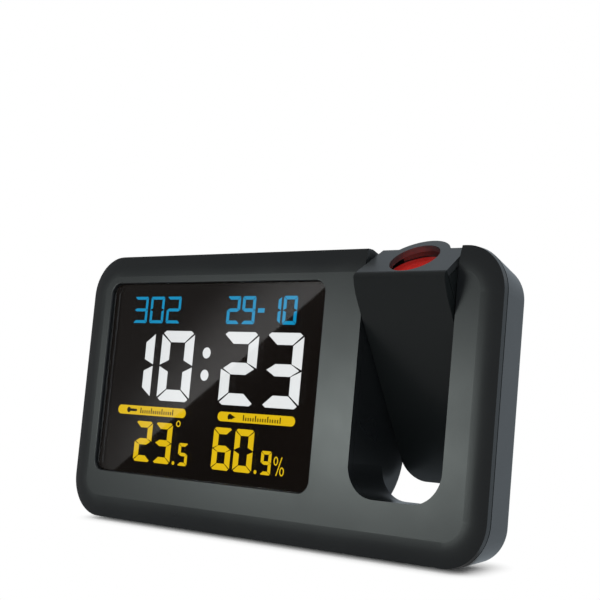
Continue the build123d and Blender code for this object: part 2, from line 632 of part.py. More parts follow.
guide_height = tray_top - tray_bottom - 2 * PANE_OVERLAP - 2 * GUIDE_CLEARANCE
with BuildPart() as light_guide:
    with BuildSketch(face_plane(tray_y + STACK_GAP)):
        with Locations((window_x, (tray_top + tray_bottom) / 2)):
            Rectangle(window_width - 2 * GUIDE_CLEARANCE, guide_height)
    extrude(amount=-GUIDE_THICKNESS)

with BuildPart() as zebra_strip:
    with BuildSketch(face_plane(lcd_y + LCD_THICKNESS)):
        with Locations((window_x, tray_top + ZEBRA_HEIGHT / 2)):
            Rectangle(window_width - 2 * ZEBRA_INSET, ZEBRA_HEIGHT - 2 * ZEBRA_CLEARANCE)
    extrude(amount=-(board_y - lcd_y - LCD_THICKNESS))

# ---------------------------------------------------------------- circuit board
with BuildPart() as main_pcb:
    with BuildSketch(face_plane(board_y)) as main_board:
        with Locations((pcb_left, pcb_bottom)):
            Rectangle(pcb_right - pcb_left, pcb_top - pcb_bottom, align=(Align.MIN, Align.MIN))
            Rectangle(ear_left - pcb_left, ear_top - pcb_bottom, align=(Align.MIN, Align.MIN))
        with Locations((ear_left, ear_bottom)):
            Rectangle(PCB_EAR_WIDTH, PCB_EAR_HEIGHT, align=(Align.MIN, Align.MIN))
        fillet(main_board.vertices(), PCB_CORNER)
        with Locations(*pcb_screw_places):
            Circle(SMALL_SCREW_RADIUS + HOLE_CLEARANCE, mode=Mode.SUBTRACT)
    extrude(amount=-BOARD_THICKNESS)

with BuildPart() as tact_switches:
    with BuildSketch(face_plane(board_back)):
        with Locations(*button_places):
            Rectangle(SWITCH_SIZE, SWITCH_SIZE)
    extrude(amount=-SWITCH_HEIGHT)
    with BuildSketch(face_plane(board_back + SWITCH_HEIGHT)):
        with Locations(*button_places):
            Circle(PLUNGER_RADIUS)
    extrude(amount=-PLUNGER_HEIGHT)

switch_z = pcb_top - SWITCH_SIZE
with BuildPart() as snooze_switch:
    with BuildSketch(face_plane(board_back)):
        with Locations((window_x, switch_z)):
            Rectangle(SWITCH_SIZE, SWITCH_SIZE - PLUNGER_HEIGHT, align=(Align.CENTER, Align.MIN))
    extrude(amount=-2 * SWITCH_HEIGHT)
    with BuildSketch(Plane.XY.offset(pcb_top - PLUNGER_HEIGHT)):
        with Locations((window_x, board_back + SWITCH_HEIGHT)):
            Circle(PLUNGER_RADIUS * 0.8)
    extrude(amount=PLUNGER_HEIGHT)

with BuildPart() as clock_chip:
    with BuildSketch(face_plane(board_back)):
        with Locations((pcb_right - CHIP_MARGIN[0], pcb_bottom + CHIP_MARGIN[1])):
            Circle(CHIP_RADIUS)
    extrude(amount=-CHIP_HEIGHT, taper=CHIP_SLOPE)

with BuildPart() as pcb_parts:
    with BuildSketch(face_plane(board_back)):
        for margin in CAPACITOR_MARGINS:
            with Locations((pcb_right - margin, pcb_bottom + TALL_PARTS_RISE)):
                Circle(CAPACITOR_RADIUS)
        with Locations((pcb_right - CRYSTAL_MARGIN, pcb_bottom + TALL_PARTS_RISE)):
            SlotOverall(CRYSTAL_LENGTH, CRYSTAL_WIDTH)
    extrude(amount=-TALL_PARTS_HEIGHT)

inlet_y = board_back + STACK_GAP + INLET_THICKNESS / 2
mouth_x = -BODY_WIDTH / 2 + SIDE_DRAFT_INSET * (inlet_y - REAR_START) / BODY_RUN + INLET_SUNK
with BuildPart() as usb_inlet:
    with BuildSketch(side_plane(mouth_x)):
        with Locations((inlet_y, inlet_height)):
            SlotOverall(INLET_WIDTH, INLET_THICKNESS, rotation=90)
    extrude(amount=INLET_LENGTH)
    with BuildSketch(side_plane(mouth_x)):
        with Locations((inlet_y, inlet_height)):
            SlotOverall(INLET_WIDTH - 2 * INLET_SHELL, INLET_THICKNESS - 2 * INLET_SHELL, rotation=90)
            Rectangle(INLET_TONGUE, INLET_WIDTH - 2 * INLET_TONGUE_INSET, mode=Mode.SUBTRACT)
    extrude(amount=INLET_LENGTH - INLET_BACK, mode=Mode.SUBTRACT)

with BuildPart() as speaker:
    with BuildSketch(face_plane(REAR_INSIDE)):
        with Locations((speaker_x, SPEAKER_HEIGHT)):
            Circle(SPEAKER_RADIUS)
    extrude(amount=SPEAKER_FLANGE)
    with BuildSketch(face_plane(REAR_INSIDE - SPEAKER_FLANGE)):
        with Locations((speaker_x, SPEAKER_HEIGHT)):
            Circle(SPEAKER_MAGNET_RADIUS)
    extrude(amount=SPEAKER_THICKNESS - SPEAKER_FLANGE)

# ---------------------------------------------------------------- batteries and their door
cell_places = [(cell_y, DRUM_HEIGHT - CELL_SPACING / 2), (cell_y, DRUM_HEIGHT + CELL_SPACING / 2)]
cell_left = pocket_centre - CELL_LENGTH / 2
with BuildPart() as aaa_cells:
    with BuildSketch(side_plane(cell_left)):
        with Locations(*cell_places):
            Circle(CELL_DIAMETER / 2)
    extrude(amount=CELL_LENGTH - CELL_NUB_LENGTH)
    with BuildSketch(side_plane(cell_left + CELL_LENGTH - CELL_NUB_LENGTH)):
        with Locations(*cell_places):
            Circle(CELL_NUB_RADIUS)
    extrude(amount=CELL_NUB_LENGTH)

pocket_left = pocket_centre - POCKET_LENGTH / 2
pocket_right = pocket_centre + POCKET_LENGTH / 2
with BuildPart() as battery_plates:
    with BuildSketch(side_plane(pocket_right)):
        with Locations(*cell_places):
            Rectangle(CONTACT_SIZE, CONTACT_SIZE)
    extrude(amount=-CONTACT_THICKNESS)
    with BuildSketch(side_plane(pocket_right - CONTACT_THICKNESS)):
        with Locations(*cell_places):
            Circle(CONTACT_NUB_RADIUS)
    extrude(amount=-(pocket_right - cell_left - CELL_LENGTH - CONTACT_THICKNESS), taper=15)

with BuildPart() as battery_springs:
    with BuildSketch(side_plane(pocket_left)):
        with Locations(*cell_places):
            Rectangle(CONTACT_SIZE, CONTACT_SIZE)
    extrude(amount=CONTACT_THICKNESS)
    spring_length = cell_left - pocket_left - CONTACT_THICKNESS
    for cell_place in cell_places:
        with BuildSketch(side_plane(pocket_left + CONTACT_THICKNESS)):
            with Locations(cell_place):
                Circle(SPRING_RADIUS)
                Circle(SPRING_RADIUS - SPRING_WALL, mode=Mode.SUBTRACT)
        extrude(amount=spring_length, taper=12)

with BuildPart() as battery_door:
    with BuildSketch(side_plane(pocket_centre - door_length / 2)):
        with Locations((DRUM_DEPTH, DRUM_HEIGHT)):
            Circle(DRUM_RADIUS)
            Circle(drum_inside + DOOR_GAP, mode=Mode.SUBTRACT)
            Rectangle(4 * BODY_DEPTH, door_height, mode=Mode.INTERSECT)
        with Locations((BODY_DEPTH, DRUM_HEIGHT)):
            Rectangle(4 * BODY_DEPTH, BODY_HEIGHT, align=(Align.MAX, Align.CENTER), mode=Mode.SUBTRACT)
    extrude(amount=door_length)
    # grip ribs near the upper edge
    with BuildSketch(side_plane(pocket_centre - GRIP_LENGTH / 2)):
        with Locations((DRUM_DEPTH, DRUM_HEIGHT)):
            with PolarLocations(DRUM_RADIUS, 3, start_angle=GRIP_FIRST_ANGLE, angular_range=GRIP_ANGLE):
                Circle(GRIP_RIB / 2)
    extrude(amount=GRIP_LENGTH)

# ---------------------------------------------------------------- buttons
flange_inner = board_back + SWITCH_HEIGHT + PLUNGER_HEIGHT + BUTTON_GAP + BUTTON_TRAVEL
rear_buttons = []
for place in button_places:
    with BuildPart() as rear_button:
        with BuildSketch(face_plane(REAR_INSIDE - BUTTON_GAP)):
            with Locations(place):
                SlotOverall(REAR_BUTTON_LENGTH, REAR_BUTTON_WIDTH)
        extrude(amount=-(REAR_WALL + BUTTON_GAP + REAR_BUTTON_PROUD))
        chamfer(rear_button.faces().sort_by(Axis.Y)[-1].edges(), BUTTON_EDGE)
        with BuildSketch(face_plane(REAR_INSIDE - BUTTON_GAP)):
            with Locations(place):
                SlotOverall(
                    REAR_BUTTON_LENGTH + 2 * BUTTON_FLANGE_LAP, REAR_BUTTON_WIDTH + 2 * BUTTON_FLANGE_LAP
                )
        extrude(amount=REAR_INSIDE - BUTTON_GAP - flange_inner)
    rear_buttons.append(rear_button)

top_slope = TOP_DRAFT_INSET / BODY_RUN


def top_height(depth):
    """Height of the rear half's top surface at a depth."""
    return BODY_HEIGHT - top_slope * (depth - REAR_START)


with BuildPart() as snooze_key:
    with BuildSketch(side_plane(window_x - SNOOZE_LENGTH / 2)):
        with BuildLine():
            Polyline(
                (SNOOZE_FRONT, top_height(SNOOZE_FRONT) + SNOOZE_PROUD),
                (SNOOZE_BACK, top_height(SNOOZE_BACK) + SNOOZE_PROUD),
                (SNOOZE_BACK, top_height(SNOOZE_BACK) - REAR_WALL - BUTTON_GAP),
                (SNOOZE_FRONT, top_height(SNOOZE_FRONT) - REAR_WALL - BUTTON_GAP),
                close=True,
            )
        make_face()
    extrude(amount=SNOOZE_LENGTH)
    fillet(snooze_key.faces().sort_by(Axis.Z)[-1].edges(), BUTTON_EDGE)
    # flange under the top wall, and the stem over its switch
    flange_front = SNOOZE_FRONT - BUTTON_FLANGE_LAP
    flange_back = SNOOZE_BACK + BUTTON_FLANGE_LAP
    with BuildSketch(side_plane(window_x - SNOOZE_LENGTH / 2 - BUTTON_FLANGE_LAP)):
        with BuildLine():
            Polyline(
                (flange_front, top_height(flange_front) - REAR_WALL - BUTTON_GAP),
                (flange_back, top_height(flange_back) - REAR_WALL - BUTTON_GAP),
                (flange_back, top_height(flange_back) - REAR_WALL - BUTTON_GAP - BUTTON_FLANGE),
                (flange_front, top_height(flange_front) - REAR_WALL - BUTTON_GAP - BUTTON_FLANGE),
                close=True,
            )
        make_face()
    extrude(amount=SNOOZE_LENGTH + 2 * BUTTON_FLANGE_LAP)
    stem_bottom = pcb_top + SNOOZE_TRAVEL + BUTTON_GAP
    stem_y = board_back + SWITCH_HEIGHT
    with BuildSketch(Plane.XY.offset(stem_bottom)):
        with Locations((window_x, stem_y)):
            Rectangle(3 * PLUNGER_RADIUS, PLUNGER_RADIUS)
    extrude(amount=top_height(stem_y) - REAR_WALL - BUTTON_GAP - stem_bottom)

# ---------------------------------------------------------------- pivots
with BuildPart() as pivot_bush:
    with BuildSketch(side_plane(slot_left - TUNNEL_WALL - FLANGE_THICKNESS)):
        with Locations((PIVOT_DEPTH, pivot_height)):
            Circle(BUSH_FLANGE_RADIUS)
    extrude(amount=FLANGE_THICKNESS)
    bush_end = slot_x - arm_side_at_pivot + PIVOT_REACH
    with BuildSketch(side_plane(slot_left - TUNNEL_WALL)):
        with Locations((PIVOT_DEPTH, pivot_height)):
            Circle(BUSH_RADIUS)
    extrude(amount=bush_end - slot_left + TUNNEL_WALL)
    with BuildSketch(side_plane(0)):
        with Locations((PIVOT_DEPTH, pivot_height)):
            Circle(BUSH_BORE_RADIUS)
    extrude(amount=bush_end, mode=Mode.SUBTRACT)

with BuildPart() as pivot_pin:
    with BuildSketch(side_plane(slot_right + TUNNEL_WALL)):
        with Locations((PIVOT_DEPTH, pivot_height)):
            Circle(PIN_HEAD_RADIUS)
    extrude(amount=FLANGE_THICKNESS)
    pin_end = slot_x + arm_side_at_pivot - PIVOT_REACH
    with BuildSketch(side_plane(slot_right + TUNNEL_WALL)):
        with Locations((PIVOT_DEPTH, pivot_height)):
            Circle(PIN_RADIUS)
    extrude(amount=pin_end - slot_right - TUNNEL_WALL)


# ---------------------------------------------------------------- projector arm, stowed
def arm_outline(depth, inset):
    """Front view of the arm: round lower corners, and a top above the cap."""
    with BuildSketch(face_plane(depth)) as outline:
        with Locations((slot_x, arm_bottom + inset)):
            Rectangle(arm_width - 2 * inset, BODY_HEIGHT, align=(Align.CENTER, Align.MIN))
        fillet(outline.vertices().group_by(Axis.Y)[0], ARM_CORNER_RADIUS - inset)
    return outline.sketch


def arm_profile(x, inset, lowered):
    """Side view of the arm inset from its skin, with its sloping top lowered."""
    top_front = arm_top - lowered
    top_back = arm_top + (BODY_DEPTH - brow_drop) * cap_rise - lowered
    front = inset
    back = BODY_DEPTH - inset
    with BuildSketch(side_plane(x)) as profile:
        with BuildLine():
            brow_start = (front, arm_top - brow_height)
            brow_end = (front + brow_drop, top_front)
            Line((ARM_HEEL_DEPTH - inset, 0), (front, 0))
            Line((front, 0), brow_start)
            Spline(brow_start, brow_end, tangents=[(0, 1), (sin(radians(ARM_BROW_ANGLE)), 1)])
            Line(brow_end, (back, top_back))
            Line((back, top_back), (back, ARM_TAPER_HEIGHT))
            Line((back, ARM_TAPER_HEIGHT), (ARM_HEEL_DEPTH - inset, arm_bottom))
            Line((ARM_HEEL_DEPTH - inset, arm_bottom), (ARM_HEEL_DEPTH - inset, 0))
        make_face()
        if inset == 0:
            brow_corner = profile.vertices().sort_by(Axis.Y)[-2]
            fillet(brow_corner, ARM_BROW_EDGE)
    return profile.sketch


def cap_plane(below):
    """Plane of the arm's sloping top, at a distance below it; local y runs to the back."""
    slope = radians(ARM_TOP_SLOPE)
    start = (slot_x, brow_drop + cap_front * cos(slope), arm_top + cap_front * sin(slope))
    plane = Plane(origin=start, x_dir=(1, 0, 0), z_dir=(0, -sin(slope), cos(slope)))
    return plane.offset(-below)


cap_drop = CAP_THICKNESS / cos(radians(ARM_TOP_SLOPE))
cap_length = (BODY_DEPTH - brow_drop) / cos(radians(ARM_TOP_SLOPE)) - cap_front
optic_place = (0, (OPTIC_DEPTH - brow_drop) / cos(radians(ARM_TOP_SLOPE)) - cap_front)

arm_screw_places = [
    (slot_x - ARM_SCREW_SPREAD, arm_bottom + ARM_LOW_SCREW_RISE),
    (slot_x + ARM_SCREW_SPREAD, arm_bottom + ARM_LOW_SCREW_RISE),
    (slot_x - ARM_SCREW_SPREAD, arm_top - ARM_HIGH_SCREW_DROP),
    (slot_x + ARM_SCREW_SPREAD, arm_top - ARM_HIGH_SCREW_DROP),
]

with BuildPart() as cover_hollow:
    extrude(arm_outline(0, ARM_WALL), amount=-ARM_PARTING)
    extrude(arm_profile(slot_left, ARM_WALL, cap_drop), amount=SLOT_WIDTH, mode=Mode.INTERSECT)

with BuildPart() as arm_cover:
    extrude(arm_outline(0, 0), amount=-(ARM_PARTING - ARM_SEAM))
    extrude(arm_profile(slot_left, 0, 0), amount=SLOT_WIDTH, mode=Mode.INTERSECT)
    add(cover_hollow.part, mode=Mode.SUBTRACT)
    with BuildSketch(face_plane(ARM_WALL)):
        with Locations(*arm_screw_places):
            Circle(ARM_POST_RADIUS)
            Circle(SMALL_SCREW_RADIUS + SCREW_CLEARANCE, mode=Mode.SUBTRACT)
    extrude(amount=-(ARM_POST_END - ARM_WALL))


def bulge_solid(inset):
    """Round rear wall round the optics, down to its domed end, drawn in by an inset."""
    radius = BULGE_RADIUS - inset
    top = BODY_HEIGHT + BULGE_WALL
    with BuildPart() as solid:
        with BuildSketch(side_plane(slot_x)):
            with BuildLine():
                Line((OPTIC_DEPTH, bulge_centre - radius), (OPTIC_DEPTH, top))
                Line((OPTIC_DEPTH, top), (OPTIC_DEPTH + radius, top))
                Line((OPTIC_DEPTH + radius, top), (OPTIC_DEPTH + radius, bulge_centre))
                CenterArc((OPTIC_DEPTH, bulge_centre), radius, -90, 90)
            make_face()
        revolve(axis=Axis((slot_x, OPTIC_DEPTH, 0), (0, 0, 1)))
        # only what lies behind the cover
        split(bisect_by=Plane.XZ.offset(-ARM_PARTING), keep=Keep.BOTTOM)
    return solid.part


def below_cap(part_below):
    """Solid under the cap's seat or under a plane that much lower, for trimming tops."""
    with BuildPart() as block:
        with BuildSketch(cap_plane(part_below)):
            Rectangle(2 * SLOT_WIDTH, 4 * BODY_DEPTH)
        extrude(amount=-2 * BODY_HEIGHT)
    return block.part


bulge_outside = bulge_solid(0)
bulge_inside = bulge_solid(BULGE_WALL)
under_cap = below_cap(CAP_THICKNESS)

with BuildPart() as housing_hollow:
    extrude(arm_outline(ARM_PARTING, ARM_WALL), amount=-BODY_DEPTH, taper=ARM_DRAFT)
    extrude(arm_profile(slot_left, ARM_WALL, 0), amount=SLOT_WIDTH, mode=Mode.INTERSECT)
    add(bulge_inside)

with BuildPart() as arm_housing:
    extrude(arm_outline(ARM_PARTING, 0), amount=-BODY_DEPTH, taper=ARM_DRAFT)
    extrude(arm_profile(slot_left, 0, 0), amount=SLOT_WIDTH, mode=Mode.INTERSECT)
    add(bulge_outside)
    add(housing_hollow.part, mode=Mode.SUBTRACT)
    # journals for the bush and the pin, with recesses for the washers
    for side, hole in ((-1, BUSH_RADIUS), (1, PIN_RADIUS)):
        with BuildSketch(side_plane(slot_x + side * (arm_side_at_pivot - ARM_WALL / 2))):
            with Locations((PIVOT_DEPTH, pivot_height)):
                Circle(hole + JOURNAL_WALL)
        extrude(amount=-side * (PIVOT_REACH - ARM_WALL / 2))
        with BuildSketch(side_plane(slot_x + side * SLOT_WIDTH / 2)):
            with Locations((PIVOT_DEPTH, pivot_height)):
                Circle(WASHER_RADIUS + 0.1)
        extrude(amount=-side * (WASHER_GAP + WASHER_THICKNESS), mode=Mode.SUBTRACT)
        with BuildSketch(side_plane(slot_x + side * SLOT_WIDTH / 2)):
            with Locations((PIVOT_DEPTH, pivot_height)):
                Circle(hole + PIVOT_CLEARANCE)
        extrude(amount=-side * (SLOT_WIDTH / 2 - arm_side_at_pivot + PIVOT_REACH), mode=Mode.SUBTRACT)
    # bosses and counterbores for the arm's screws
    with BuildSketch(face_plane(ARM_POST_END + STACK_GAP)):
        with Locations(*arm_screw_places):
            Circle(SMALL_HEAD_RADIUS + ARM_BOSS_WALL)
    extrude(amount=-(ARM_SCREW_SEAT - ARM_POST_END + ARM_WALL))
    with BuildSketch(face_plane(ARM_SCREW_SEAT)):
        with Locations(*arm_screw_places):
            Circle(SMALL_HEAD_RADIUS + HOLE_CLEARANCE)
    extrude(amount=-BODY_DEPTH, mode=Mode.SUBTRACT)
    with BuildSketch(face_plane(ARM_POST_END)):
        with Locations(*arm_screw_places):
            Circle(SMALL_SCREW_RADIUS + HOLE_CLEARANCE)
    extrude(amount=-BODY_DEPTH, mode=Mode.SUBTRACT)
    add(under_cap, mode=Mode.INTERSECT)

with BuildPart() as arm_cap:
    with BuildSketch(cap_plane(0)):
        taper = cap_length * tan(radians(ARM_DRAFT))
        with BuildLine():
            Polyline(
                (-arm_width / 2, 0),
                (arm_width / 2, 0),
                (arm_width / 2 - taper, cap_length),
                (-arm_width / 2 + taper, cap_length),
                close=True,
            )
        make_face()
        with Locations(optic_place):
            Circle(BULGE_RADIUS)
            Circle(LENS_HOLE_RADIUS, mode=Mode.SUBTRACT)
        Rectangle(SLOT_WIDTH, BODY_DEPTH, align=(Align.CENTER, Align.MAX), mode=Mode.SUBTRACT)
    extrude(amount=-(CAP_THICKNESS - STACK_GAP))

# ---------------------------------------------------------------- projector optics
optic_top = arm_top + (OPTIC_DEPTH - brow_drop) * cap_rise


def optic_disc(height):
    """Plane square to the optical axis, at a height."""
    return Plane(origin=(slot_x, OPTIC_DEPTH, height))


barrel_top = optic_top - cap_drop - BARREL_RADIUS * cap_rise - BARREL_CAP_GAP
with BuildPart() as lens_barrel:
    with BuildSketch(optic_disc(barrel_bottom)):
        Circle(BARREL_RADIUS)
        Circle(BARREL_BORE, mode=Mode.SUBTRACT)
    extrude(amount=barrel_top - barrel_bottom)

cell_radius = BARREL_BORE - CELL_CLEARANCE
cell_bore = cell_radius - CELL_WALL
cell_top = barrel_top - CELL_SUNK
lens_top = cell_top - LENS_SUNK
with BuildPart() as lens_cell:
    with BuildSketch(optic_disc(cell_top)):
        Circle(cell_radius)
        Circle(cell_bore, mode=Mode.SUBTRACT)
    extrude(amount=-CELL_HEIGHT)
    with BuildSketch(optic_disc(cell_top - CELL_HEIGHT)):
        Circle(cell_radius)
        Circle(cell_bore - CELL_END_LIP, mode=Mode.SUBTRACT)
    extrude(amount=CELL_END_THICKNESS)
    with BuildSketch(optic_disc(lens_top - LENS_THICKNESS)):
        Circle(cell_radius)
        Circle(cell_bore - CELL_LEDGE, mode=Mode.SUBTRACT)
    extrude(amount=-CELL_LEDGE)

lens_radius = cell_bore - STACK_GAP
dome_radius = (lens_radius**2 + LENS_DOME**2) / (2 * LENS_DOME)
with BuildPart() as projection_lens:
    with BuildSketch(side_plane(slot_x)):
        rim = OPTIC_DEPTH + lens_radius
        with BuildLine():
            Line((OPTIC_DEPTH, lens_top), (OPTIC_DEPTH, lens_top - LENS_THICKNESS))
            Line((OPTIC_DEPTH, lens_top - LENS_THICKNESS), (rim, lens_top - LENS_THICKNESS))
            Line((rim, lens_top - LENS_THICKNESS), (rim, lens_top - LENS_DOME))
            RadiusArc((rim, lens_top - LENS_DOME), (OPTIC_DEPTH, lens_top), -dome_radius)
        make_face()
    revolve(axis=Axis((slot_x, OPTIC_DEPTH, 0), (0, 0, 1)))

slide_top = barrel_bottom - STACK_GAP
with BuildPart() as slide_lcd:
    with BuildSketch(optic_disc(slide_top)):
        Rectangle(SLIDE_SIZE, SLIDE_SIZE)
    extrude(amount=-SLIDE_THICKNESS)

tube_top = slide_top - SLIDE_THICKNESS - STACK_GAP
tube_bottom = tube_top - LAMP_TUBE_LENGTH
condenser_bottom = tube_top - CONDENSER_SUNK - CONDENSER_THICKNESS
with BuildPart() as lamp_tube:
    with BuildSketch(optic_disc(tube_bottom)):
        Circle(LAMP_TUBE_RADIUS)
        Circle(LAMP_TUBE_BORE, mode=Mode.SUBTRACT)
    extrude(amount=LAMP_TUBE_LENGTH)
    with BuildSketch(optic_disc(condenser_bottom)):
        Circle(LAMP_TUBE_BORE)
        Circle(LAMP_TUBE_BORE - CONDENSER_LEDGE, mode=Mode.SUBTRACT)
    extrude(amount=-CONDENSER_LEDGE)

with BuildPart() as condenser_lens:
    with BuildSketch(optic_disc(condenser_bottom)):
        Circle(LAMP_TUBE_BORE - STACK_GAP)
    extrude(amount=CONDENSER_THICKNESS)
    fillet(condenser_lens.faces().sort_by(Axis.Z)[-1].edges(), CONDENSER_THICKNESS * 0.6)

led_board_top = tube_bottom - STACK_GAP
with BuildPart() as led_board:
    with BuildSketch(optic_disc(led_board_top)):
        Circle(LED_BOARD_RADIUS)
    extrude(amount=-BOARD_THICKNESS)

with BuildPart() as projector_led:
    with BuildSketch(optic_disc(led_board_top)):
        Circle(LED_RADIUS)
    extrude(amount=LED_HEIGHT)
    fillet(projector_led.faces().sort_by(Axis.Z)[-1].edges(), LED_RADIUS * 0.9)

# ---------------------------------------------------------------- washers, screws and leads
with BuildPart() as friction_washers:
    for side, hole in ((-1, BUSH_RADIUS), (1, PIN_RADIUS)):
        with BuildSketch(side_plane(slot_x + side * (SLOT_WIDTH / 2 - WASHER_GAP))):
            with Locations((PIVOT_DEPTH, pivot_height)):
                Circle(WASHER_RADIUS)
                Circle(hole + PIVOT_CLEARANCE, mode=Mode.SUBTRACT)
        extrude(amount=-side * WASHER_THICKNESS)


def screw_group(places, seat, shank_radius, head_radius, head_height, length):
    """Pan-head screws driven from the back, their heads seated at a depth."""
    with BuildPart() as screws:
        with BuildSketch(face_plane(seat)):
            with Locations(*places):
                Circle(head_radius)
        extrude(amount=-head_height)
        chamfer(screws.faces().group_by(Axis.Y)[-1].edges(), head_height / 3)
        with BuildSketch(face_plane(seat)):
            with Locations(*places):
                Circle(shank_radius)
        extrude(amount=length)
    return screws


case_seat = BODY_DEPTH - 2 * SCREW_HEAD_HEIGHT
case_screws = screw_group(
    case_screw_places, case_seat, SCREW_RADIUS, SCREW_HEAD_RADIUS, SCREW_HEAD_HEIGHT, SCREW_LENGTH
)
small_screw = (SMALL_SCREW_RADIUS, SMALL_HEAD_RADIUS, SMALL_HEAD_HEIGHT, SMALL_SCREW_LENGTH)
pcb_screws = screw_group(pcb_screw_places, board_back, *small_screw)
arm_screws = screw_group(arm_screw_places, ARM_SCREW_SEAT, *small_screw)

lead_meet = slot_left + TUNNEL_WALL / 2  # where the two leads meet inside the bush
with BuildPart() as body_lead:
    with BuildLine():
        lead_y = board_back + LEAD_RADIUS + STACK_GAP
        body_route = FilletPolyline(
            (pcb_right - 2, lead_y, pivot_height + 0.6),
            (pcb_right + 1.6, lead_y, pivot_height + 0.6),
            (pcb_right + 5.6, PIVOT_DEPTH, pivot_height),
            (lead_meet - STACK_GAP, PIVOT_DEPTH, pivot_height),
            radius=LEAD_BEND,
        )
    with BuildSketch(Plane(origin=body_route @ 0, z_dir=body_route % 0)):
        Circle(LEAD_RADIUS)
    sweep()

lead_x = bush_end + LEAD_RADIUS + LEAD_END_GAP
with BuildPart() as arm_lead:
    with BuildLine():
        arm_route = FilletPolyline(
            (lead_meet + STACK_GAP, PIVOT_DEPTH, pivot_height),
            (lead_x, PIVOT_DEPTH, pivot_height),
            (lead_x, PIVOT_DEPTH, led_board_top + 3),
            (slot_x - LED_BOARD_RADIUS, OPTIC_DEPTH, led_board_top - BOARD_THICKNESS - 2),
            (slot_x - 2, OPTIC_DEPTH, led_board_top - BOARD_THICKNESS - LEAD_RADIUS - 0.1),
            radius=LEAD_BEND,
        )
    with BuildSketch(Plane(origin=arm_route @ 0, z_dir=arm_route % 0)):
        Circle(LEAD_RADIUS)
    sweep()

# ---------------------------------------------------------------- placing and export
sole = sole_plane(FRONT_FOOT_PLACE)
foot_centre = sole.origin + sole.z_dir * FOOT_PROUD
STANCE = Location((0, 0, 0), (-LEAN, 0, 0)) * Location(-foot_centre)
pivot = Location((0, PIVOT_DEPTH, pivot_height))
SWUNG = STANCE * pivot * Location((0, 0, 0), (SWING_SHOWN, 0, 0)) * pivot.inverse()

body_pieces = {
    "front_shell": front_shell,
    "rear_shell": rear_shell,
    "front_foot": front_foot,
    "rear_feet": rear_feet,
    "display_window": display_window,
    "lcd_panel": lcd_panel,
    "reflector_tray": reflector_tray,
    "light_guide": light_guide,
    "zebra_strip": zebra_strip,
    "main_pcb": main_pcb,
    "tact_switches": tact_switches,
    "snooze_switch": snooze_switch,
    "clock_chip": clock_chip,
    "pcb_parts": pcb_parts,
    "usb_inlet": usb_inlet,
    "speaker": speaker,
    "aaa_cells": aaa_cells,
    "battery_plates": battery_plates,
    "battery_springs": battery_springs,
    "battery_door": battery_door,
    "snooze_key": snooze_key,
    "pivot_bush": pivot_bush,
    "pivot_pin": pivot_pin,
    "case_screws": case_screws,
    "pcb_screws": pcb_screws,
    "body_lead": body_lead,
}
for number, rear_button in enumerate(rear_buttons, start=1):
    body_pieces[f"rear_button_{number}"] = rear_button

arm_pieces = {
    "arm_cover": arm_cover,
    "arm_housing": arm_housing,
    "arm_cap": arm_cap,
    "arm_screws": arm_screws,
    "friction_washers": friction_washers,
    "lens_barrel": lens_barrel,
    "lens_cell": lens_cell,
    "projection_lens": projection_lens,
    "slide_lcd": slide_lcd,
    "lamp_tube": lamp_tube,
    "condenser_lens": condenser_lens,
    "led_board": led_board,
    "projector_led": projector_led,
    "arm_lead": arm_lead,
}

os.makedirs("parts", exist_ok=True)
for pieces, place in ((body_pieces, STANCE), (arm_pieces, SWUNG)):
    for node, piece in pieces.items():
        piece.part = piece.part.moved(place)
        piece.part.label = node
        export_step(piece.part, f"parts/{node}.step")
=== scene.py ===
"""Looks of the projection alarm clock: finishes, lit display, screws, springs and studio.

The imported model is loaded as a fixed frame. Each sub-assembly is a class that builds its extra
meshes and dresses its own nodes, and each finish is a small class that makes one material.
"""

import json
import logging
from collections.abc import Iterable, Sequence
from dataclasses import dataclass, field
from enum import Enum
from math import cos, pi, radians, sin, tau

import bmesh
import bpy
from mathutils import Matrix, Vector


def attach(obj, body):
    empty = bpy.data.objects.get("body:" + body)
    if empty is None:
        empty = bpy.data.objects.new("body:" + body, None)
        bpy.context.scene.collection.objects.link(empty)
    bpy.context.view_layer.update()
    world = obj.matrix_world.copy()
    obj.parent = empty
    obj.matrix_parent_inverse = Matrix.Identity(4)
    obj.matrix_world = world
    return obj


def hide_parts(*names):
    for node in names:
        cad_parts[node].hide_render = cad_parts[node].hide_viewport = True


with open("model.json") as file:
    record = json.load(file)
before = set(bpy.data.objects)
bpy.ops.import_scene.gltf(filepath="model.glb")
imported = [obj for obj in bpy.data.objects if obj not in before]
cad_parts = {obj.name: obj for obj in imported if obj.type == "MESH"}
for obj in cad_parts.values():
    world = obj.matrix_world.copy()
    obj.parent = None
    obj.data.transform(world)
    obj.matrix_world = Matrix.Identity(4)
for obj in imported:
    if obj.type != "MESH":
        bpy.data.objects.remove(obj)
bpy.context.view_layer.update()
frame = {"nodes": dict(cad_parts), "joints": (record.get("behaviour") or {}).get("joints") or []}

MM = 0.001
MERGE_DISTANCE = 0.0005 * MM
SMOOTH_ANGLE = radians(38)
CIRCLE_CORNERS = 24
WHITE = "#ffffff"

# The two colour inputs and the colour output of Blender's Mix node, which share their names.
MIX_A, MIX_B, MIX_COLOUR = 6, 7, 2
# Noise keeps near its middle, so these ends bring out its contrast.
MID_NOISE = (0.3, 0.7)

Mesh = bmesh.types.BMesh
Vert = bmesh.types.BMVert
Edge = bmesh.types.BMEdge
Tree = bpy.types.NodeTree
Node = bpy.types.Node
Socket = bpy.types.NodeSocket
Point = tuple[float, float]
Place = tuple[float, float, float]
Outline = Sequence[Point]

log = logging.getLogger("clock")


class Slot(Enum):
    """Material slots of the record that new pieces take their finish from."""

    LCD = "lcd"
    STEEL = "steel"
    CONTACT = "contact_metal"


class Body(Enum):
    """Moving bodies that new pieces ride on."""

    CASE = "body"
    ARM = "arm"


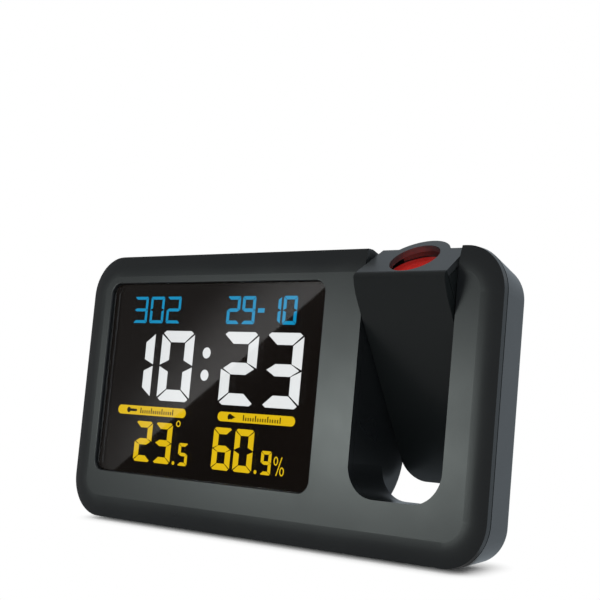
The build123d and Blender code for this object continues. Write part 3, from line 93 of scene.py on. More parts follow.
# ---------------------------------------------------------------- colour and node helpers
def linear(hex_colour: str) -> tuple[float, float, float, float]:
    """Turns an sRGB hex colour into linear RGBA, by the standard sRGB curve.

    Args:
        hex_colour: Six hex digits, with or without a leading hash.

    Returns:
        Linear red, green and blue with an alpha of 1.
    """
    digits = hex_colour.lstrip("#")
    channels = [int(digits[i:i + 2], 16) / 255 for i in (0, 2, 4)]
    red, green, blue = [
        c / 12.92 if c <= 0.04045 else ((c + 0.055) / 1.055) ** 2.4 for c in channels]
    return red, green, blue, 1.0


def add_node(tree: Tree, kind: str, inputs: dict | None = None, **settings: str) -> Node:
    """Adds a node with its settings and links.

    Args:
        tree: Node tree that gets the node.
        kind: Blender's class name of the node, without the ShaderNode that it starts with.
        inputs: Input names or numbers, each with a value or with another node's output socket.
        **settings: Attributes of the node and their values.

    Returns:
        The new node.
    """
    node = tree.nodes.new("ShaderNode" + kind)
    for key, value in settings.items():
        setattr(node, key, value)
    for key, value in (inputs or {}).items():
        if isinstance(value, Socket):
            tree.links.new(value, node.inputs[key])
        else:
            node.inputs[key].default_value = value
    return node


def per_metre(size_mm: float) -> float:
    """Pattern scale on Object coordinates whose repeat is that many millimetres."""
    return 1 / (size_mm * MM)


# ---------------------------------------------------------------- finishes
@dataclass(frozen=True)
class Look:
    """A material that is made once and then kept.

    Attributes:
        name: Name of the material, after what the real one is.
    """

    name: str

    def material(self) -> bpy.types.Material:
        """Gives the material, made the first time it is asked for.

        Returns:
            The material.
        """
        found = bpy.data.materials.get(self.name)
        if found:
            return found
        made = bpy.data.materials.new(self.name)
        made.use_nodes = True
        made.node_tree.nodes.clear()
        shader = self.shade(made.node_tree)
        add_node(made.node_tree, "OutputMaterial", {"Surface": shader.outputs[0]})
        return made

    def shade(self, tree: Tree) -> Node:
        """Adds the look's own nodes and returns its shader."""
        raise NotImplementedError


@dataclass(frozen=True)
class Finish(Look):
    """Surface of a real material, with the grain and the soft clouds that finishes share.

    Attributes:
        colour: sRGB hex of the material.
        roughness: Mean roughness.
        grain_mm: Width of one grain.
        relief_mm: Height of that grain.
        drift: How far the roughness drifts each way, or the share by which the light does.
        cloud_mm: Width of the clouds in which it drifts.
    """

    colour: str = "#15181a"
    roughness: float = 0.30
    grain_mm: float = 0.45
    relief_mm: float = 0.006
    drift: float = 0.03
    cloud_mm: float = 22.0

    def shade(self, tree: Tree) -> Node:
        """Adds the patterns and the shader, plain in what no pattern varies."""
        plain = {"Base Color": linear(self.colour), "Roughness": self.roughness}
        return add_node(tree, "BsdfPrincipled", plain | self.sockets(tree))

    def sockets(self, tree: Tree) -> dict:
        """Adds the patterns and returns the shader's other inputs."""
        raise NotImplementedError

    def grain(self, tree: Tree, detail: float) -> tuple[Socket, Socket]:
        """Adds a grain that stands proud of the surface.

        Args:
            tree: Tree that gets the nodes.
            detail: How many finer grains it holds.

        Returns:
            The grain from 0 to 1, and the normal that it bumps.
        """
        place = add_node(tree, "TexCoord").outputs["Object"]
        grain = add_node(tree, "TexNoise", {
            "Vector": place, "Scale": per_metre(self.grain_mm), "Detail": detail})
        bump = add_node(tree, "Bump", {"Height": grain.outputs[0], "Distance": self.relief_mm * MM})
        return grain.outputs[0], bump.outputs[0]

    def clouds(
        self, tree: Tree, middle: float, reach: float, detail: float, ends: Point = (0.0, 1.0)
    ) -> tuple[Socket, Socket]:
        """Adds a value that drifts over the surface.

        Args:
            tree: Tree that gets the nodes.
            middle: Mean value.
            reach: How far it drifts each way.
            detail: How many finer clouds it holds.
            ends: Amounts of noise that give the lowest and the highest value.

        Returns:
            The noise from 0 to 1, and the value that drifts with it.
        """
        place = add_node(tree, "TexCoord").outputs["Object"]
        noise = add_node(tree, "TexNoise", {
            "Vector": place, "Scale": per_metre(self.cloud_mm), "Detail": detail})
        value = add_node(tree, "MapRange", {
            "Value": noise.outputs[0], "From Min": ends[0], "From Max": ends[1],
            "To Min": middle - reach, "To Max": middle + reach})
        return noise.outputs[0], value.outputs[0]


@dataclass(frozen=True)
class MouldedPlastic(Finish):
    """ABS moulded against a spark-eroded tool.

    The eye sees an even, slightly silky dark surface: a fine grain breaks up every reflection,
    and the broad sheen drifts a little in strength. A real grain is about 0.1 mm wide, too fine
    to show, so it is drawn coarser.

    Attributes:
        paler: How much lighter the palest tone is.
    """

    paler: float = 1.12

    def sockets(self, tree: Tree) -> dict:
        """Grain on the normal, slow drift on colour and roughness.

        Args:
            tree: Tree that gets the nodes.

        Returns:
            The shader's inputs.
        """
        slow, roughness = self.clouds(tree, self.roughness, self.drift, 3.0, MID_NOISE)
        base = linear(self.colour)
        pale = tuple(min(1.0, self.paler * channel) for channel in base[:3]) + (1.0,)
        tone = add_node(tree, "Mix", {"Factor": slow, MIX_A: base, MIX_B: pale}, data_type="RGBA")
        return {"Base Color": tone.outputs[MIX_COLOUR], "Roughness": roughness,
                "Normal": self.grain(tree, 2.0)[1], "IOR": 1.53}


@dataclass(frozen=True)
class ClearPlastic(Finish):
    """PMMA, injection moulded and polished.

    The eye sees through it, with sharp reflections that only faint smears break.

    Attributes:
        smear: Amounts of noise at a smear's edge and middle.
    """

    colour: str = "#f4f6f6"
    roughness: float = 0.018
    drift: float = 0.01
    cloud_mm: float = 14.0
    smear: Point = (0.45, 0.8)

    def sockets(self, tree: Tree) -> dict:
        """Clear body with faint smears in its roughness."""
        roughness = self.clouds(tree, self.roughness, self.drift, 4.0, self.smear)[1]
        return {"Roughness": roughness, "IOR": 1.49, "Transmission Weight": 1.0}


@dataclass(frozen=True)
class LitPart(Finish):
    """Part of the display or of the lamp with light in it or behind it.

    The eye sees a glow that is a little uneven, as light from the edge of a guide is.

    Attributes:
        light: sRGB hex of the light.
        strength: Mean strength of the light.
        ior: Index of refraction of the part.
        clear: How much of it is clear.
    """

    colour: str = "#101010"
    drift: float = 0.06
    cloud_mm: float = 18.0
    light: str = "#ebf0f2"
    strength: float = 1.75
    ior: float = 1.5
    clear: float = 0.0

    def sockets(self, tree: Tree) -> dict:
        """Body with its light."""
        return {"IOR": self.ior, "Transmission Weight": self.clear,
                "Emission Color": linear(self.light), "Emission Strength": self.glow(tree)}

    def glow(self, tree: Tree) -> Socket:
        """Strength that drifts a little over the part."""
        return self.clouds(tree, self.strength, self.drift * self.strength, 1.0)[1]


@dataclass(frozen=True)
class GlowingClear(LitPart):
    """Clear moulded part with red light in it: the lamp's own epoxy, and the slide and the lenses
    with a painted glow.

    The eye sees a saturated red body whose glow drifts a little; in the slide and lenses it is
    painted light that stands in for the lamp's light passing through.
    """

    colour: str = "#ff3a30"
    roughness: float = 0.1
    drift: float = 0.2
    cloud_mm: float = 2.0
    light: str = "#ff2a22"
    strength: float = 1.0
    ior: float = 1.52
    clear: float = 0.6


@dataclass(frozen=True)
class PaintedGlowWall(LitPart):
    """Black polycarbonate round the lens, with a painted red glow that stands in for the lamp's
    light scattered on it.

    The eye sees a matt dark wall with painted red light, strongest near the lens and fading towards
    the mouth.

    Attributes:
        axis: Unit vector from the lens to the mouth.
        start: Distance along it where the light is full, in metres.
        end: Distance along it where the light ends.
    """

    colour: str = "#1c1d1f"
    roughness: float = 0.4
    grain_mm: float = 0.3
    # Colour and strength of the painted red glow.
    light: str = "#e02018"
    strength: float = 0.5
    axis: Place = (0.0, 0.0, 1.0)
    start: float = 0.0
    end: float = 0.01

    def sockets(self, tree: Tree) -> dict:
        """Lit body with a fine grain."""
        return super().sockets(tree) | {"Normal": self.grain(tree, 2.0)[1]}

    def glow(self, tree: Tree) -> Socket:
        """Strength of the painted glow, fading along the axis.

        Args:
            tree: Tree that gets the nodes.

        Returns:
            The strength.
        """
        place = add_node(tree, "TexCoord").outputs["Object"]
        along = add_node(tree, "VectorMath", {0: place, 1: self.axis}, operation="DOT_PRODUCT")
        return add_node(tree, "MapRange", {
            "Value": along.outputs["Value"], "From Min": self.start, "From Max": self.end,
            "To Min": self.strength, "To Max": 0.0}).outputs[0]


@dataclass(frozen=True)
class Rubber(Finish):
    """Moulded rubber or silicone.

    The eye sees a dull, soft surface with a fine powdery grain, drawn coarser than it is.

    Attributes:
        dust: sRGB hex of the dust in the grain.
    """

    colour: str = "#1b1c1d"
    roughness: float = 0.78
    grain_mm: float = 0.4
    relief_mm: float = 0.02
    dust: str = "#303132"

    def sockets(self, tree: Tree) -> dict:
        """Rough surface with a fine grain and paler dust in it.

        Args:
            tree: Tree that gets the nodes.

        Returns:
            The shader's inputs.
        """
        grain, normal = self.grain(tree, 3.0)
        tone = add_node(tree, "Mix", {
            "Factor": grain, MIX_A: linear(self.colour), MIX_B: linear(self.dust)},
            data_type="RGBA")
        return {"Base Color": tone.outputs[MIX_COLOUR], "Normal": normal}


@dataclass(frozen=True)
class PlatedMetal(Finish):
    """Stamped or turned metal with a thin plating.

    The eye sees bright metal with fine drawing marks, drawn coarser than they are, and cloudy
    spots in the plating.
    """

    colour: str = "#b9b7b0"
    grain_mm: float = 0.15
    relief_mm: float = 0.003
    drift: float = 0.08
    cloud_mm: float = 2.5

    def sockets(self, tree: Tree) -> dict:
        """Fine marks on the normal and clouds in the roughness."""
        roughness = self.clouds(tree, self.roughness, self.drift, 4.0, MID_NOISE)[1]
        return {"Metallic": 1.0, "Roughness": roughness, "Normal": self.grain(tree, 1.0)[1]}


@dataclass(frozen=True)
class SolderMask(Finish):
    """Glass-epoxy board under a green solder mask.

    The eye sees dark green lacquer with paler traces that stand a little proud.

    Attributes:
        copper: sRGB hex of the mask over copper.
        trace_mm: Spacing of the traces.
        half_gap: Half the distance between two traces, as a share of their spacing.
        trace_edge: Where the edge of a trace starts and ends within that.
    """

    colour: str = "#0c3a22"
    relief_mm: float = 0.03
    copper: str = "#1b5e36"
    trace_mm: float = 2.4
    half_gap: float = 0.12
    trace_edge: Point = (0.045, 0.06)

    def sockets(self, tree: Tree) -> dict:
        """Square-cornered traces from a cell pattern measured along the axes.

        Args:
            tree: Tree that gets the nodes.

        Returns:
            The shader's inputs.
        """
        place = add_node(tree, "TexCoord").outputs["Object"]
        cells = add_node(tree, "TexVoronoi", {
            "Vector": place, "Scale": per_metre(self.trace_mm), "Randomness": 0.8},
            feature="F1", distance="CHEBYCHEV")
        traces = add_node(tree, "Math", {
            0: cells.outputs["Distance"], 1: self.half_gap}, operation="PINGPONG")
        edge = add_node(tree, "MapRange", {
            "Value": traces.outputs[0],
            "From Min": self.trace_edge[0], "From Max": self.trace_edge[1]},
            interpolation_type="SMOOTHSTEP").outputs[0]
        bump = add_node(tree, "Bump", {"Height": edge, "Distance": self.relief_mm * MM})
        tone = add_node(tree, "Mix", {
            "Factor": edge, MIX_A: linear(self.colour), MIX_B: linear(self.copper)},
            data_type="RGBA")
        return {"Base Color": tone.outputs[MIX_COLOUR], "Normal": bump.outputs[0]}


@dataclass(frozen=True)
class CellJacket(Finish):
    """Shrink-wrapped foil jacket of a dry cell, with bare steel ends.

    The eye sees a glossy dark jacket, one metallic band and bright ends.

    Attributes:
        start: Where the cell starts along X, in metres.
        end: Where it ends along X.
        band: Length of the metallic band with the end that it is at.
        bare: Length of each bare end, as a share of the cell.
        brass: sRGB hex of the band.
        steel: sRGB hex of the ends.
    """

    colour: str = "#16324a"
    drift: float = 0.1
    cloud_mm: float = 3.0
    start: float = 0.0
    end: float = 0.044
    band: float = 0.011
    bare: float = 0.03
    brass: str = "#b98a4a"
    steel: str = "#c8c6c0"

    def sockets(self, tree: Tree) -> dict:
        """Bands by the place along the cell, with scuffs in the roughness.

        Args:
            tree: Tree that gets the nodes.

        Returns:
            The shader's inputs.
        """
        place = add_node(tree, "TexCoord").outputs["Object"]
        along = add_node(tree, "SeparateXYZ", {0: place}).outputs["X"]
        share = add_node(tree, "MapRange", {
            "Value": along, "From Min": self.start, "From Max": self.end})
        ramp = add_node(tree, "ValToRGB", {"Fac": share.outputs[0]})
        ramp.color_ramp.interpolation = "CONSTANT"
        stops = ramp.color_ramp.elements
        stops[0].color = linear(self.steel)
        stops[1].position = self.bare
        stops[1].color = linear(self.colour)
        stops.new(1 - self.band / (self.end - self.start)).color = linear(self.brass)
        stops.new(1 - self.bare).color = linear(self.steel)
        roughness = self.clouds(tree, self.roughness, self.drift, 4.0)[1]
        return {"Base Color": ramp.outputs[0], "Metallic": 0.6, "Roughness": roughness}


SHELL = MouldedPlastic("charcoal_abs_spark_eroded")
ARM_SHELL = MouldedPlastic("charcoal_abs_projector_arm", "#15191a")
# The arm's charcoal ABS painted lighter on its top plate, as painted light for the light falling on
# its upturned face.
ARM_TOP_PAINTED_LIGHTER = MouldedPlastic("charcoal_abs_arm_top_painted_lighter", "#2a2d2f")
BUTTON = MouldedPlastic("grey_abs_fine_matt", "#3a3e40", 0.5, 0.2)
OPTIC_BLACK = MouldedPlastic("black_polycarbonate_matt", "#141516", 0.55, 0.2)
WHITE_TRAY = MouldedPlastic("white_abs_reflector", "#e9e9e4", 0.4)
ACETAL = MouldedPlastic("natural_acetal_turned", "#dedbd2", 0.3, 0.5)
EPOXY_BLOB = MouldedPlastic("black_epoxy_potting", "#0e0e0f", 0.25, 1.5)
SPEAKER_BLACK = MouldedPlastic("black_pet_cone", "#18191a", 0.35, 0.6)
PVC_LEAD = MouldedPlastic("red_pvc_wire_extruded", "#8c2320", 0.38, 0.8)
PANE = ClearPlastic("smoked_pmma_window", "#c9c7c6")
CLEAR = ClearPlastic("clear_pmma_moulded")
# Glass cell under a neutral polarising film: near black, with a trace of brown that leaks through.
LCD = LitPart(
    "negative_lcd_glass", "#0b0a0a", 0.16, drift=0.3, cloud_mm=30.0, light="#2a1f17", strength=0.25)
# Open segments with the back light behind them: a flat, even glow with crisp edges.
WHITE_LIGHT = LitPart("lcd_segment_white")
BLUE_LIGHT = LitPart("lcd_segment_blue", light="#0b8fc0")
YELLOW_LIGHT = LitPart("lcd_segment_yellow", light="#e3be10")
ICON_DARK = LitPart("lcd_segment_masked", light="#1d1a10", strength=0.6)
# The lenses and the slide glow with painted red light, standing in for the lamp's light that passes
# through them.
LENS_PAINTED_GLOW = GlowingClear("pmma_lens_painted_glow", "#ffdcd6", light="#ff3a2e", strength=0.9)
LAMP_RED = GlowingClear("red_led_epoxy", strength=2.0)
SLIDE_PAINTED_GLOW = GlowingClear("slide_glass_painted_glow", "#ffc2b8", light="#ff7a70", strength=0.8)
FOOT_RUBBER = Rubber("black_tpr_feet")
ZEBRA = Rubber("conductive_silicone_strip", "#3a2a26")
ZINC = PlatedMetal("zinc_plated_steel")
BLACK_ZINC = PlatedMetal("black_zinc_steel_screws", "#3b3b3d", 0.38)
NICKEL = PlatedMetal("nickel_plated_spring_steel", "#c9c4b8", 0.22)
ALUMINIUM = PlatedMetal("aluminium_can", "#c4c6c8", 0.34)
BOARD = SolderMask("green_solder_mask")


# ---------------------------------------------------------------- local directions and meshes
@dataclass(frozen=True)
class Span:
    """Lowest and highest corner of something, along a set of directions.

    Attributes:
        low: Lowest corner, in metres.
        high: Highest corner, in metres.
    """

    low: Vector
    high: Vector

    @property
    def centre(self) -> Vector:
        """Point halfway between the corners."""
        return (self.low + self.high) / 2

    @property
    def size(self) -> Vector:
        """Extent along each direction."""
        return self.high - self.low


@dataclass(frozen=True)
class Directions:
    """Right, backward and upward directions of a leaning or swung sub-assembly.

    Attributes:
        back: Unit vector from its front to its back.
        up: Unit vector up its face.
    """

    back: Vector
    up: Vector

    @property
    def matrix(self) -> Matrix:
        """Turns local (right, back, up) coordinates into the row frame."""
        return Matrix((Vector((1, 0, 0)), self.back, self.up)).transposed().to_4x4()

    def span(self, points: Iterable[Vector]) -> Span:
        """Measures points along these directions.

        Args:
            points: Points in the row frame.

        Returns:
            Their span in local coordinates.
        """
        turn = self.matrix.inverted()
        sides = list(zip(*(turn @ point for point in points)))
        return Span(Vector([min(side) for side in sides]), Vector([max(side) for side in sides]))

    def node(self, name: str) -> Span:
        """Local span of a node's mesh."""
        return self.span(v.co for v in frame["nodes"][name].data.vertices)

    def solids(self, name: str) -> list[Span]:
        """Local span of each separate solid in a node.

        Args:
            name: Name of the node.

        Returns:
            One span for each solid.
        """
        copy = bmesh.new()
        copy.from_mesh(frame["nodes"][name].data)
        bmesh.ops.remove_doubles(copy, verts=copy.verts, dist=2 * MERGE_DISTANCE)
        left = set(copy.verts)
        found = []
        for first in copy.verts:
            if first not in left:
                continue
            left.discard(first)
            group = [first]
            for vert in group:
                near = {edge.other_vert(vert) for edge in vert.link_edges} & left
                left -= near
                group.extend(near)
            found.append(self.span(vert.co for vert in group))
        copy.free()
        return found


def joint_axis(name: str) -> Vector:
    """Unit axis of a joint, in the row frame."""
    joint = next(j for j in frame["joints"] if j["name"] == name)
    return Vector(joint["axis"]).normalized()


def case_directions() -> Directions:
    """Directions of the leaning case, from the way that its door lifts off."""
    back = joint_axis("battery_door_lift")
    return Directions(back, Vector((1, 0, 0)).cross(back))


def arm_directions() -> Directions:
    """Directions of the swung arm, from the axis that its lens turns on."""
    up = joint_axis("focus_turn")
    return Directions(up.cross(Vector((1, 0, 0))), up)


def verts_of(made: dict) -> list[Vert]:
    """Vertices that an operator gives back."""
    return [item for item in made["geom"] if isinstance(item, Vert)]


def edges_of(made: dict) -> list[Edge]:
    """Edges that an operator gives back."""
    return [item for item in made["geom"] if isinstance(item, Edge)]


def edges_at(verts: Iterable[Vert]) -> list[Edge]:
    """Edges that meet in some vertices, each once and in order."""
    return list(dict.fromkeys(edge for vert in verts for edge in vert.link_edges))


def circle(centre: Point, radii: Point) -> list[Point]:
    """Corners of a circle or oval of that centre, half width and half height."""
    turns = [tau * i / CIRCLE_CORNERS for i in range(CIRCLE_CORNERS)]
    return [(centre[0] + radii[0] * cos(t), centre[1] + radii[1] * sin(t)) for t in turns]


def rectangle(left: float, low: float, right: float, high: float) -> list[Point]:
    """Corners of an upright rectangle."""
    return [(left, low), (right, low), (right, high), (left, high)]


def swept(start: Place, end: Place, sweep: Vector) -> Mesh:
    """Grows a flat four-sided mesh from an edge.

    Args:
        start: One end of the edge.
        end: Its other end.
        sweep: How far the edge moves.

    Returns:
        The new mesh.
    """
    mesh = bmesh.new()
    edge = mesh.edges.new([mesh.verts.new(start), mesh.verts.new(end)])
    grown = bmesh.ops.extrude_edge_only(mesh, edges=[edge])
    bmesh.ops.translate(mesh, verts=verts_of(grown), vec=sweep)
    return mesh


def add_object(name: str, mesh: Mesh, material: bpy.types.Material) -> bpy.types.Object:
    """Adds an object to the scene.

    Args:
        name: Its name.
        mesh: Its mesh, freed here.
        material: Its material.

    Returns:
        The object, at the origin, with its place in its mesh.
    """
    data = bpy.data.meshes.new(name)
    mesh.to_mesh(data)
    mesh.free()
    data.materials.append(material)
    made = bpy.data.objects.new(name, data)
    bpy.context.scene.collection.objects.link(made)
    return made


def make_piece(
    name: str, mesh: Mesh, directions: Directions, finish: Finish, body: Body
) -> bpy.types.Object:
    """Turns a finished mesh into a piece of the clock.

    Args:
        name: Name of the piece.
        mesh: Mesh in local coordinates, freed here.
        directions: Directions of those coordinates.
        finish: Its finish.
        body: Body it rides on.

    Returns:
        The piece.
    """
    bmesh.ops.remove_doubles(mesh, verts=mesh.verts, dist=MERGE_DISTANCE)
    bmesh.ops.recalc_face_normals(mesh, faces=mesh.faces)
    mesh.transform(directions.matrix)
    piece = add_object(name, mesh, finish.material())
    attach(piece, body.value)
    log.info("%s: %d faces", name, len(piece.data.polygons))
    return piece


def smooth(piece: bpy.types.Object) -> None:
    """Shades a piece's faces smooth up to its sharp edges."""
    piece.data.shade_smooth()
    piece.data.set_sharp_from_angle(angle=SMOOTH_ANGLE)


def dress(finish: Finish, *names: str) -> None:
    """Gives nodes of the frame a finish.

    Args:
        finish: The finish.
        *names: Names of the nodes.
    """
    for name in names:
        for place in frame["nodes"][name].material_slots:
            place.material = finish.material()
        log.info("%s: %s", name, finish.name)


# ---------------------------------------------------------------- display
# Mitres of a figure whose stroke is 3.85: how far its corners stand in from the cell's edges.
MITRE_STROKE = 3.85
INNER_GAP, MIDDLE_TIP = 0.3, 0.85
LEVEL_TIP, LEVEL_CHAMFER, LEVEL_DROP = 0.55, 1.1, 0.75
OUTER_TOP, OUTER_MIDDLE, INNER_MIDDLE, INNER_TOP = 1.15, 0.25, 1.8, 3.75

# Lit bars of each value, as letters that run clockwise from the top, with g in the middle.
BARS = {
    0: "abcdef", 1: "bc", 2: "abdeg", 3: "abcdg", 4: "bcfg",
    5: "acdfg", 6: "acdefg", 7: "abc", 8: "abcdefg", 9: "abcdfg",
}


@dataclass(frozen=True)
class Figure:
    """A seven-segment figure: upright, with mitred bars.

    Attributes:
        width: Width of its cell, in millimetres.
        height: Its height.
        stroke: Width of its upright bars.
        level_share: Width of its level bars, as a share of that.
    """

    width: float
    height: float
    stroke: float
    level_share: float = 0.91

    def outline(self, bar: str) -> list[Point]:
        """Corners of one bar, from the cell's lower left corner.

        Args:
            bar: Letter of the bar.

        Returns:
            Its corners.
        """
        width, height, stroke = self.width, self.height, self.stroke
        unit = stroke / MITRE_STROKE
        level = self.level_share * stroke
        inner = stroke + INNER_GAP * unit
        if bar == "g":
            tip, low, high = MIDDLE_TIP * unit, (height - level) / 2, (height + level) / 2
            return [
                (tip, height / 2), (inner, high), (width - inner, high),
                (width - tip, height / 2), (width - inner, low), (inner, low)]
        if bar in "ad":
            tip, shoulder = LEVEL_TIP * unit, (LEVEL_TIP + LEVEL_CHAMFER) * unit
            drop = height - LEVEL_DROP * unit
            half = [
                (tip, drop), (shoulder, height), (width - shoulder, height),
                (width - tip, drop), (width - inner, height - level), (inner, height - level)]
        else:
            half = [
                (width, height - OUTER_TOP * unit), (width, height / 2 + OUTER_MIDDLE * unit),
                (width - stroke, height / 2 + INNER_MIDDLE * unit),
                (width - stroke, height - INNER_TOP * unit)]
        if bar in "ef":
            half = [(width - x, z) for x, z in half]
        return half if bar in "abf" else [(x, height - z) for x, z in half]


@dataclass(frozen=True)
class Row:
    """Figures side by side.

    Attributes:
        figure: Their form.
        base: Height of their lower edge, in millimetres.
        cells: Each value and the left edge of its cell.
    """

    figure: Figure
    base: float
    cells: tuple[Point, ...]


@dataclass
class Display:
    """Lit figures and marks of the display, as films on the front of the liquid-crystal cell.

    Places and sizes are in millimetres, right of and above the window's centre.

    Attributes:
        film: Thickness of the films.
        dash: Left, low, right and high edge of the dash in the date.
        pills: Left and right end of the two bars with round ends.
        ring_stroke: Width of the line of the degree and percent rings.
        icon_inset: Distance from a bar's left end to the middle of its icon.
        bulb_radii: Half width and half height of the thermometer's bulb.
        stem: Start, end, tip and half height of its stem, from the bulb's centre.
        drop: Radius of the drop, and distance from its centre to its tip.
        scale_start: Distance from an icon's centre to the first mark of its scale.
        mark_group: How often a mark is a long one.
        mesh: Mesh of the films in the making.
    """

    film: float = 0.03
    time: Row = Row(
        Figure(14.15, 21.55, 3.85), -6.68, ((1, -38.85), (0, -21.55), (2, 4.9), (3, 22.2)))
    colon_places: tuple[Point, ...] = ((-1.72, 1.7), (-1.72, 8.4))
    colon_radii: Point = (1.65, 1.65)
    date: Row = Row(
        Figure(5.3, 8.3, 1.15), 17.18, ((2, 5.05), (9, 11.2), (1, 21.2), (0, 27.35)))
    dash: tuple[float, float, float, float] = (17.55, 20.6, 20.15, 21.9)
    day: Row = Row(Figure(6.1, 8.3, 1.0), 17.18, ((3, -35.7), (0, -28.3), (2, -20.9)))
    pills: tuple[Point, ...] = ((-38.4, -8.05), (5.4, 35.7))
    pill_middle: float = -10.1
    pill_radius: float = 1.4
    climate: Row = Row(
        Figure(7.45, 12.35, 2.1), -25.7, ((2, -29.3), (3, -20.45), (6, 4.55), (0, 13.3)))
    tenths: Row = Row(Figure(3.95, 6.75, 1.1), -25.7, ((5, -9.6), (9, 24.15)))
    point_places: tuple[Point, ...] = ((-11.4, -25.14), (22.35, -25.14))
    point_radii: Point = (0.55, 0.55)
    ring_stroke: float = 0.36
    degree_place: Point = (-10.75, -13.3)
    degree_radii: Point = (0.95, 0.95)
    percent_places: tuple[Point, ...] = ((29.9, -21.5), (32.4, -24.3))
    percent_radii: Point = (0.85, 1.25)
    percent_slash: tuple[Point, ...] = ((30.35, -25.6), (32.1, -20.3))
    icon_inset: float = 5.0
    bulb_radii: Point = (0.85, 0.85)
    stem: tuple[float, float, float, float] = (0.7, 3.4, 3.8, 0.4)
    drop: Point = (0.9, 2.2)
    scale_start: float = 5.3
    mark_count: int = 16
    mark_group: int = 5
    mark_pitch: float = 0.95
    mark_width: float = 0.4
    short_mark: float = 1.0
    long_mark: float = 1.7
    directions: Directions = field(default_factory=case_directions)
    mesh: Mesh | None = None

    def corners(self, outline: Outline, layers: int = 1) -> list[Vert]:
        """Adds an outline's corners in front of the cell.

        Args:
            outline: Their places.
            layers: How many films stand between them and the cell.

        Returns:
            The new vertices.
        """
        cell = self.directions.node("lcd_panel")
        front = cell.low.y - layers * self.film * MM
        return [
            self.mesh.verts.new((cell.centre.x + x * MM, front, cell.centre.z + z * MM))
            for x, z in outline]

    def thicken(self, faces: list[bmesh.types.BMFace]) -> None:
        """Gives faces the thickness of a film, towards the cell."""
        grown = bmesh.ops.extrude_face_region(self.mesh, geom=faces)
        bmesh.ops.translate(self.mesh, verts=verts_of(grown), vec=(0, self.film * MM, 0))

    def add_film(self, outline: Outline, layers: int = 1) -> None:
        """Adds a film whose front stands that many layers before the cell."""
        self.thicken([self.mesh.faces.new(self.corners(outline, layers))])

    def add_figures(self, *rows: Row) -> None:
        """Adds figures.

        Args:
            *rows: The rows that they stand in.
        """
        for row in rows:
            for value, left in row.cells:
                for bar in BARS[value]:
                    self.add_film([(x + left, z + row.base) for x, z in row.figure.outline(bar)])

    def add_discs(self, places: Iterable[Point], radii: Point) -> None:
        """Adds a round film at each place."""
        for place in places:
            self.add_film(circle(place, radii))

    def add_ring(self, centre: Point, radii: Point) -> None:
        """Adds a round or oval ring.

        Args:
            centre: Its centre.
            radii: Its outer half width and half height.
        """
        rings = []
        for inset in (0.0, self.ring_stroke):
            verts = self.corners(circle(centre, (radii[0] - inset, radii[1] - inset)))
            rings += [self.mesh.edges.new((verts[i - 1], vert)) for i, vert in enumerate(verts)]
        self.thicken(bmesh.ops.bridge_loops(self.mesh, edges=rings)["faces"])

    def add_scale(self, start: float) -> None:
        """Adds a row of marks on a bar, the first of each group longer.

        Args:
            start: Left edge of the first mark.
        """
        low = self.pill_middle - self.long_mark / 2
        for number in range(self.mark_count):
            left = start + number * self.mark_pitch
            tall = self.short_mark if number % self.mark_group else self.long_mark
            self.add_film(rectangle(left, low, left + self.mark_width, low + tall), layers=2)

    def add_pill(self, left: float, right: float) -> None:
        """Adds a bar with round ends.

        Args:
            left: Its left end.
            right: Its right end.
        """
        radius, middle = self.pill_radius, self.pill_middle
        turns = [pi * i / 12 for i in range(13)]
        end = [(right - radius + radius * sin(t), middle - radius * cos(t)) for t in turns]
        start = [(left + radius - radius * sin(t), middle + radius * cos(t)) for t in turns]
        self.add_film(end + start)

    def build_time(self) -> None:
        """Time and its colon."""
        self.add_figures(self.time)
        self.add_discs(self.colon_places, self.colon_radii)

    def build_date(self) -> None:
        """Date, its dash, and the figures of the day."""
        self.add_figures(self.date, self.day)
        self.add_film(rectangle(*self.dash))

    def build_climate(self) -> None:
        """Temperature and humidity below their two bars."""
        for ends in self.pills:
            self.add_pill(*ends)
        self.add_figures(self.climate, self.tenths)
        self.add_discs(self.point_places, self.point_radii)
        self.add_ring(self.degree_place, self.degree_radii)
        for place in self.percent_places:
            self.add_ring(place, self.percent_radii)
        (left, low), (right, high) = self.percent_slash
        half = self.ring_stroke / 2
        self.add_film([
            (left - half, low), (left + half, low), (right + half, high), (right - half, high)])

    def build_icons(self) -> None:
        """Dark thermometer and drop on the two bars, each before a plain scale."""
        middle = self.pill_middle
        bulb, drop = (left + self.icon_inset for left, _ in self.pills)
        start, end, tip, half = self.stem
        self.add_film(circle((bulb, middle), self.bulb_radii), layers=2)
        self.add_film([
            (bulb + start, middle - half), (bulb + end, middle - half), (bulb + tip, middle),
            (bulb + end, middle + half), (bulb + start, middle + half)], layers=2)
        self.add_scale(bulb + self.scale_start)
        radius, tip = self.drop
        turns = [radians(240 - 300 * i / 16) for i in range(17)]
        round_end = [(drop + radius * cos(t), middle + radius * sin(t)) for t in turns]
        self.add_film(round_end + [(drop + tip, middle)], layers=2)
        self.add_scale(drop + self.scale_start)

    def build(self) -> None:
        """Builds all films and dresses the display stack."""
        dress(PANE, "display_window")
        dress(LCD, "lcd_panel")
        dress(CLEAR, "light_guide")
        dress(WHITE_TRAY, "reflector_tray")
        dress(ZEBRA, "zebra_strip")
        for name, add_films, finish in (
            ("time_segments", self.build_time, WHITE_LIGHT),
            ("date_segments", self.build_date, BLUE_LIGHT),
            ("climate_segments", self.build_climate, YELLOW_LIGHT),
            ("icon_masks", self.build_icons, ICON_DARK),
        ):
            self.mesh = bmesh.new()
            add_films()
            make_piece(name, self.mesh, self.directions, finish, Body.CASE)


